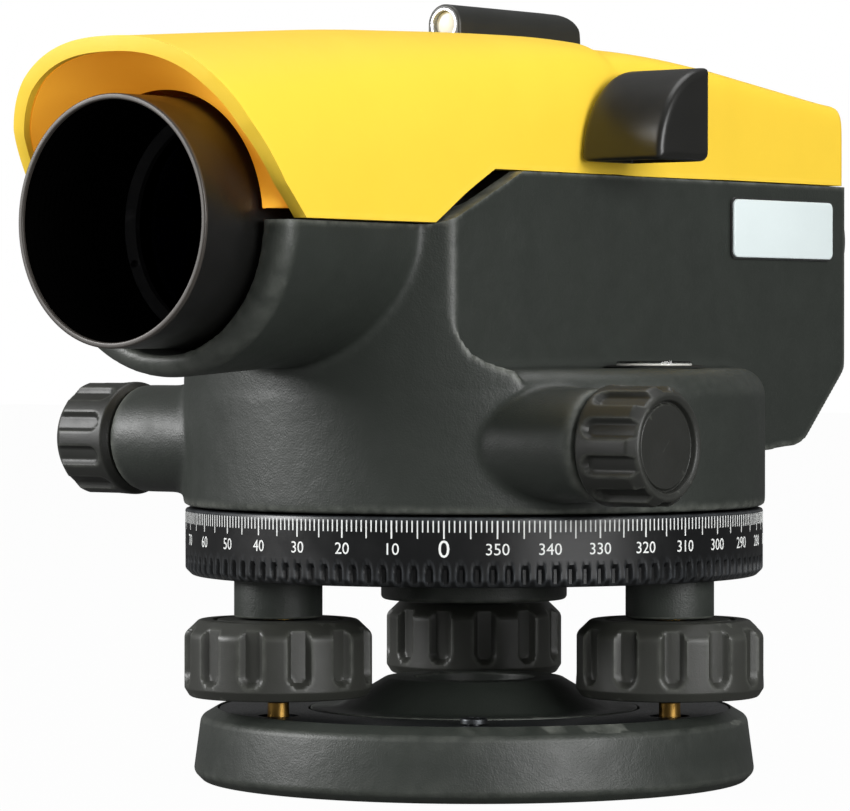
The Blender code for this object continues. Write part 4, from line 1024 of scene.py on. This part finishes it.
def fluted_knob(name, body, radius, low, high, at, flutes, cap, outwards, replaces):
    """A knob about X. Its flutes start round at the inner end and run out over the outer rim."""
    near, far = (low, high) if outwards > 0 else (high, low)
    o = outwards
    corners = [
        (0.0, far - 0.9 * o),
        (cap - 0.55, far - 0.9 * o, 0.3),
        (cap - 0.25, far - 1.3 * o, 0.15),
        (cap, far - 1.3 * o, 0.15),
        (cap + 0.25, far - 0.3 * o, 0.5),
        (radius - 1.5, far, 0.6),
        (radius, far - 1.8 * o, 1.4),
        (radius, near + 1.0 * o, 0.7),
        (radius - 1.2, near, 0.6),
        (3.3, near, 0.2),
        (3.3, near + 9.0 * o),
        (0.0, near + 9.0 * o),
    ]
    carve = slots(flutes, radius, radius * 0.2, radius * 0.1, near + 1.9 * o, outwards, radius * 0.09,
                  first=90)
    turned(name, KNOB, body, corners, at, "X", replaces, steps=flutes * 24, longest=0.5, carve=carve)


def drive_knobs():
    for side, outwards in (("left", 1), ("right", -1)):
        box = Box(f"drive_knob_{side}")
        at = (0, DRIVE.y, DRIVE.z)
        fluted_knob(f"drive_knob_grip_{side}", "drive", box.size.y / 2, box.low.x, box.high.x, at, 10, 7.6,
                    outwards, [f"drive_knob_{side}"])
        bush = Box(f"drive_bush_{side}")
        near, far = (bush.low.x, bush.high.x) if outwards > 0 else (bush.high.x, bush.low.x)
        corners = [
            (5.95, far - 0.1 * outwards, 0.4),
            (5.95, near, 0.2),
            (3.3, near),
            (3.3, far - 0.1 * outwards, 0.2),
        ]
        turned(f"drive_sleeve_{side}", MATT, "telescope", corners, at, "X", [f"drive_bush_{side}"], steps=72)


def focus_knob():
    box = Box("focus_knob")
    at = (0, FOCUS.y, FOCUS.z)
    radius, far, near = box.size.y / 2, box.low.x, box.high.x
    corners = [
        (0.0, far + 1.0), (radius - 5.0, far + 1.0, 1.0), (radius - 4.0, far, 0.6),
        (radius - 2.4, far, 1.2), (radius, far + 2.6, 1.8), (radius, near - 1.2, 0.8),
        (radius - 1.4, near, 0.8), (2.2, near, 0.3), (2.2, far + 2.7), (0.0, far + 2.7),
    ]
    carve = slots(18, radius, 2.1, 1.1, near - 2.0, -1, 0.9)
    turned("focus_knob_grip", KNOB, "focus", corners, at, "X", ["focus_knob"], steps=432, longest=0.5,
           carve=carve)


# ---- Eyepiece ----


def eyepiece():
    ring = Box("eyepiece_ring")
    radius, low, high = ring.size.x / 2, ring.low.y, ring.high.y
    corners = [
        (9.0, high, 0.3), (radius - 1.0, high, 0.5), (radius, high - 1.4, 0.5),
        (radius, low + 1.2, 0.5), (radius - 1.0, low, 0.4), (13.3, low, 0.2),
        (13.3, high - 5.2), (9.0, high - 5.2),
    ]
    carve = slots(60, radius, 0.55, 0.5, low + 1.8, 1, 0.3)
    turned("dioptre_ring", KNOB, "eyepiece", corners, (0, 0, AXIS), "Y", ["eyepiece_ring"], steps=720,
           longest=0.6, carve=carve)
    cup = Box("eyecup")
    radius, low, high = cup.size.x / 2, cup.low.y, cup.high.y
    corners = [
        (radius - 2.2, high, 0.5),
        (radius - 0.4, high, 0.5),
        (radius, high - 1.2, 0.5),
        (radius - 0.7, high - 2.4, 0.6),
        (radius, high - 3.4, 0.5),
        (radius, low, 0.5),
        (9.0, low),
        (9.0, low + 1.6, 0.3),
        (radius - 3.4, low + 1.9, 1.0),
    ]
    turned("eyecup_rim", RUBBER, "eyepiece", corners, (0, 0, AXIS), "Y", ["eyecup"], steps=144, longest=1)
    lens_piece("eye_lens_glass", "eye_lens", LENS, "eyepiece", 0.6, 0.6)


# ---- Circular level, viewing prism and sighting tube ----

LEVEL_LIP = 0.5
LEVEL_CROWN = 0.8


def circular_level():
    bezel, vial = Box("level_bezel"), Box("level_vial")
    x, y = bezel.middle.x, bezel.middle.y
    radius, low, high = bezel.size.x / 2, bezel.low.z, DRUM_TOP + LEVEL_LIP
    corners = [
        (radius, low, 0.2),
        (radius, high - 0.3, 0.3),
        (radius - 0.8, high, 0.3),
        (7.1, high - 0.25, 0.15),
        (7.1, low),
    ]
    turned("level_collar", MATT, "telescope", corners, (x, y, 0), replaces=["level_bezel"], steps=120)
    rim, seat = vial.size.x / 2 * 0.98, vial.low.z
    dome = [(rim * t, high + 0.2 + LEVEL_CROWN * (1 - t * t)) for t in np.linspace(0, 1, 9)]
    corners = [*dome, (rim, seat + 0.9), (0.0, seat + 0.9)]
    turned("level_glass", GLASS, "telescope", corners, (x, y, 0), replaces=["level_vial"], steps=96)
    floor = [(0.0, seat + 0.6), (rim, seat + 0.6), (rim, seat + 0.05), (0.0, seat + 0.05)]
    turned("level_floor", FROST, "telescope", floor, (x, y, 0), steps=96)
    circle_line = [(2.7, seat + 0.8), (2.7, seat + 0.65), (2.35, seat + 0.65), (2.35, seat + 0.8)]
    turned("level_ring_line", RUBBER, "telescope", circle_line, (x, y, 0), steps=72)


def prism_outline(inset=0.0, drop=0.0):
    """A quarter ellipse at the front and a straight back, as (y, z) points."""
    box = Box("prism_housing")
    front, back = box.low.y + inset, box.high.y - inset
    bottom, top = box.low.z, box.high.z - inset
    angle = np.linspace(0, math.pi / 2, 41)
    curve = [(back - (back - front) * math.cos(a), bottom + (top - bottom) * math.sin(a)) for a in angle]
    start = [(back, bottom - drop, 1.6), (curve[0][0], bottom - drop, 1.2)]
    return rounded([*start, *curve[2:-2], (back, top, 1.6)])


def prism_housing():
    box, glass = Box("prism_housing"), Box("level_window")
    near, far = box.low.x, box.high.x
    shell = extruded_mesh("prism", prism_outline(), near, far, "X", edge=1.2)
    window = rectangle((glass.low.x - 0.3, glass.low.z - 0.3), (glass.high.x + 0.3, glass.high.z + 0.3), 1.2)
    window = rounded([(u, -v, *r) for u, v, *r in window])
    hollow = extruded_mesh("hollow", prism_outline(1.6, 1.0), near + 1.6, far - 1.6, "X")
    hole = extruded_mesh("window", window, box.high.y - 4, box.high.y + 1, "Y")
    mesh = cut_mesh(shell, [hollow, hole], remesh=0.25, smooth=6)
    add_piece("prism_cover", mesh, GLOSS, "telescope", ["prism_housing"], sharp=80)


def tombstone(half, low, high):
    """A section with a round top and straight sides, as (x, -z) points about the tube's middle."""
    curve = arc(half, (0, 0), 0, 180, 32)
    return rounded([*[(x, -z - (high - half)) for x, z in curve], (-half, -low, 0.4), (half, -low, 0.4)])


def sighting_tube():
    box = Box("sight_tube")
    radius = 3.7
    top, low, high = box.high.z, box.low.y, box.high.y
    foot = 131.6
    body = extruded_mesh("sight", tombstone(radius, foot, top), low, high, "Y", edge=0.35)
    rear = rounded([(high - 7, top + 3), (high + 3, top + 3), (high + 3, top - 4.6), (high - 0.2, top - 4.6),
                    *arc(4.4, (high - 4.5, top - 4.5), 0, 90, 12), (high - 7, top - 0.1)])
    mesh = cut_mesh(body, [
        turned_mesh("bore", rod(2.75, low - 1, high + 1), (0, 0, top - radius), "Y", steps=64),
        extruded_mesh("rear", rear, -6, 6, "X"),
    ], remesh=0.22, smooth=3)
    add_piece("sight_body", mesh, SIGHT_BLACK, "telescope", ["sight_tube"])
    ring = [(3.05, low - 0.02, 0.15), (3.05, low + 0.9), (2.45, low + 0.9), (2.45, low - 0.02, 0.15)]
    turned("sight_front_ring", STEEL, "telescope", ring, (0, 0, top - radius), "Y", steps=72)
    for name, node in (("sight_disc_front", "sight_lens_front"), ("sight_disc_rear", "sight_lens_rear")):
        lens_box = Box(node)
        wide = 2.4
        corners = [
            (0.0, lens_box.low.y),
            (wide * 0.6, lens_box.low.y + 0.08),
            (wide, lens_box.low.y + 0.3),
            (wide, lens_box.high.y),
            (0.0, lens_box.high.y),
        ]
        turned(name, FROST, "telescope", corners, (0, 0, top - radius), "Y", [node], steps=48)


# ---- Stage and camera ----

FLOOR_GREY = (0.12, 0.12, 0.12)
FLOOR_GLOW = 0.96
GLOW_STRENGTH = 1.02
ROOM_LEVEL = 0.16
MIDDLE = (0, 0, 80)
CAMERA_PLACE = (508.2, -641.2, 77.7)
CAMERA_TARGET = (-7.0, -5.5, 67.6)
FOCAL_LENGTH = 190.6


def aim(obj, at, target):
    """Places a light or camera and points it, in millimetres."""
    obj.location = Vector(at) * MM
    obj.rotation_euler = (Vector(target) * MM - obj.location).to_track_quat("-Z", "Y").to_euler()


def flat_card(name, size, at, target, strength, reflected=True):
    """A soft area light, with its sizes and places in millimetres."""
    light = bpy.data.lights.new(name, "AREA")
    light.shape = "RECTANGLE"
    light.size, light.size_y = size[0] * MM, size[1] * MM
    light.energy = strength
    obj = linked(bpy.data.objects.new(name, light))
    aim(obj, at, target)
    obj.visible_glossy = reflected


def floor():
    mesh = bpy.data.meshes.new("floor")
    shape = bmesh.new()
    bmesh.ops.create_grid(shape, x_segments=2, y_segments=2, size=4.0)
    shape.to_mesh(mesh)
    shape.free()
    mesh.materials.append(floor_look())
    linked(bpy.data.objects.new("floor", mesh))


def floor_look():
    """White to the camera apart from a faint shadow, and a mid grey in reflections."""
    look = Look("floor", "floor", Base_Color=(*FLOOR_GREY, 1.0), Roughness=0.8)
    seen = look.node("ShaderNodeLightPath").outputs["Is Camera Ray"]
    glow = look.node("ShaderNodeEmission", {"Strength": GLOW_STRENGTH}).outputs["Emission"]
    mix = look.node("ShaderNodeMixShader", {
        "Fac": look.scaled(seen, FLOOR_GLOW), 1: look.shader.outputs["BSDF"], 2: glow})
    look.tree.links.new(mix.outputs["Shader"], look.tree.nodes["Material Output"].inputs["Surface"])
    return look.material


def world():
    """A white backdrop for the camera that lights the object only as a soft grey room."""
    made = bpy.data.worlds.new("studio")
    made.use_nodes = True
    nodes, links = made.node_tree.nodes, made.node_tree.links
    path = nodes.new("ShaderNodeLightPath")
    level = nodes.new("ShaderNodeMapRange")
    level.inputs["To Min"].default_value = ROOM_LEVEL
    level.inputs["To Max"].default_value = 1.0
    links.new(path.outputs["Is Camera Ray"], level.inputs["Value"])
    links.new(level.outputs["Result"], nodes["Background"].inputs["Strength"])
    nodes["Background"].inputs["Color"].default_value = (1.0, 1.0, 1.0, 1.0)
    bpy.context.scene.world = made
    bpy.context.scene.view_settings.view_transform = "Standard"


def lights():
    flat_card("key", (320, 320), (-520, -560, 330), MIDDLE, 6.5)
    flat_card("fill", (520, 420), (760, -180, 260), MIDDLE, 6.0)
    flat_card("front", (300, 300), (420, -760, 170), MIDDLE, 1.2, reflected=False)
    flat_card("top", (500, 500), (0, 60, 720), (0, 0, 90), 2.2)


def camera():
    lens = bpy.data.cameras.new("camera")
    lens.lens = FOCAL_LENGTH
    lens.sensor_width = 36.0
    lens.clip_start = 0.01
    obj = linked(bpy.data.objects.new("camera", lens))
    aim(obj, CAMERA_PLACE, CAMERA_TARGET)
    bpy.context.scene.camera = obj


def build():
    dress_cad_nodes()
    base_plate()
    foot_screws()
    levelling_head()
    horizontal_circle()
    lower_housing()
    label_plate()
    top_cover()
    objective()
    drive_knobs()
    focus_knob()
    eyepiece()
    circular_level()
    prism_housing()
    sighting_tube()
    floor()
    world()
    lights()
    camera()


build()
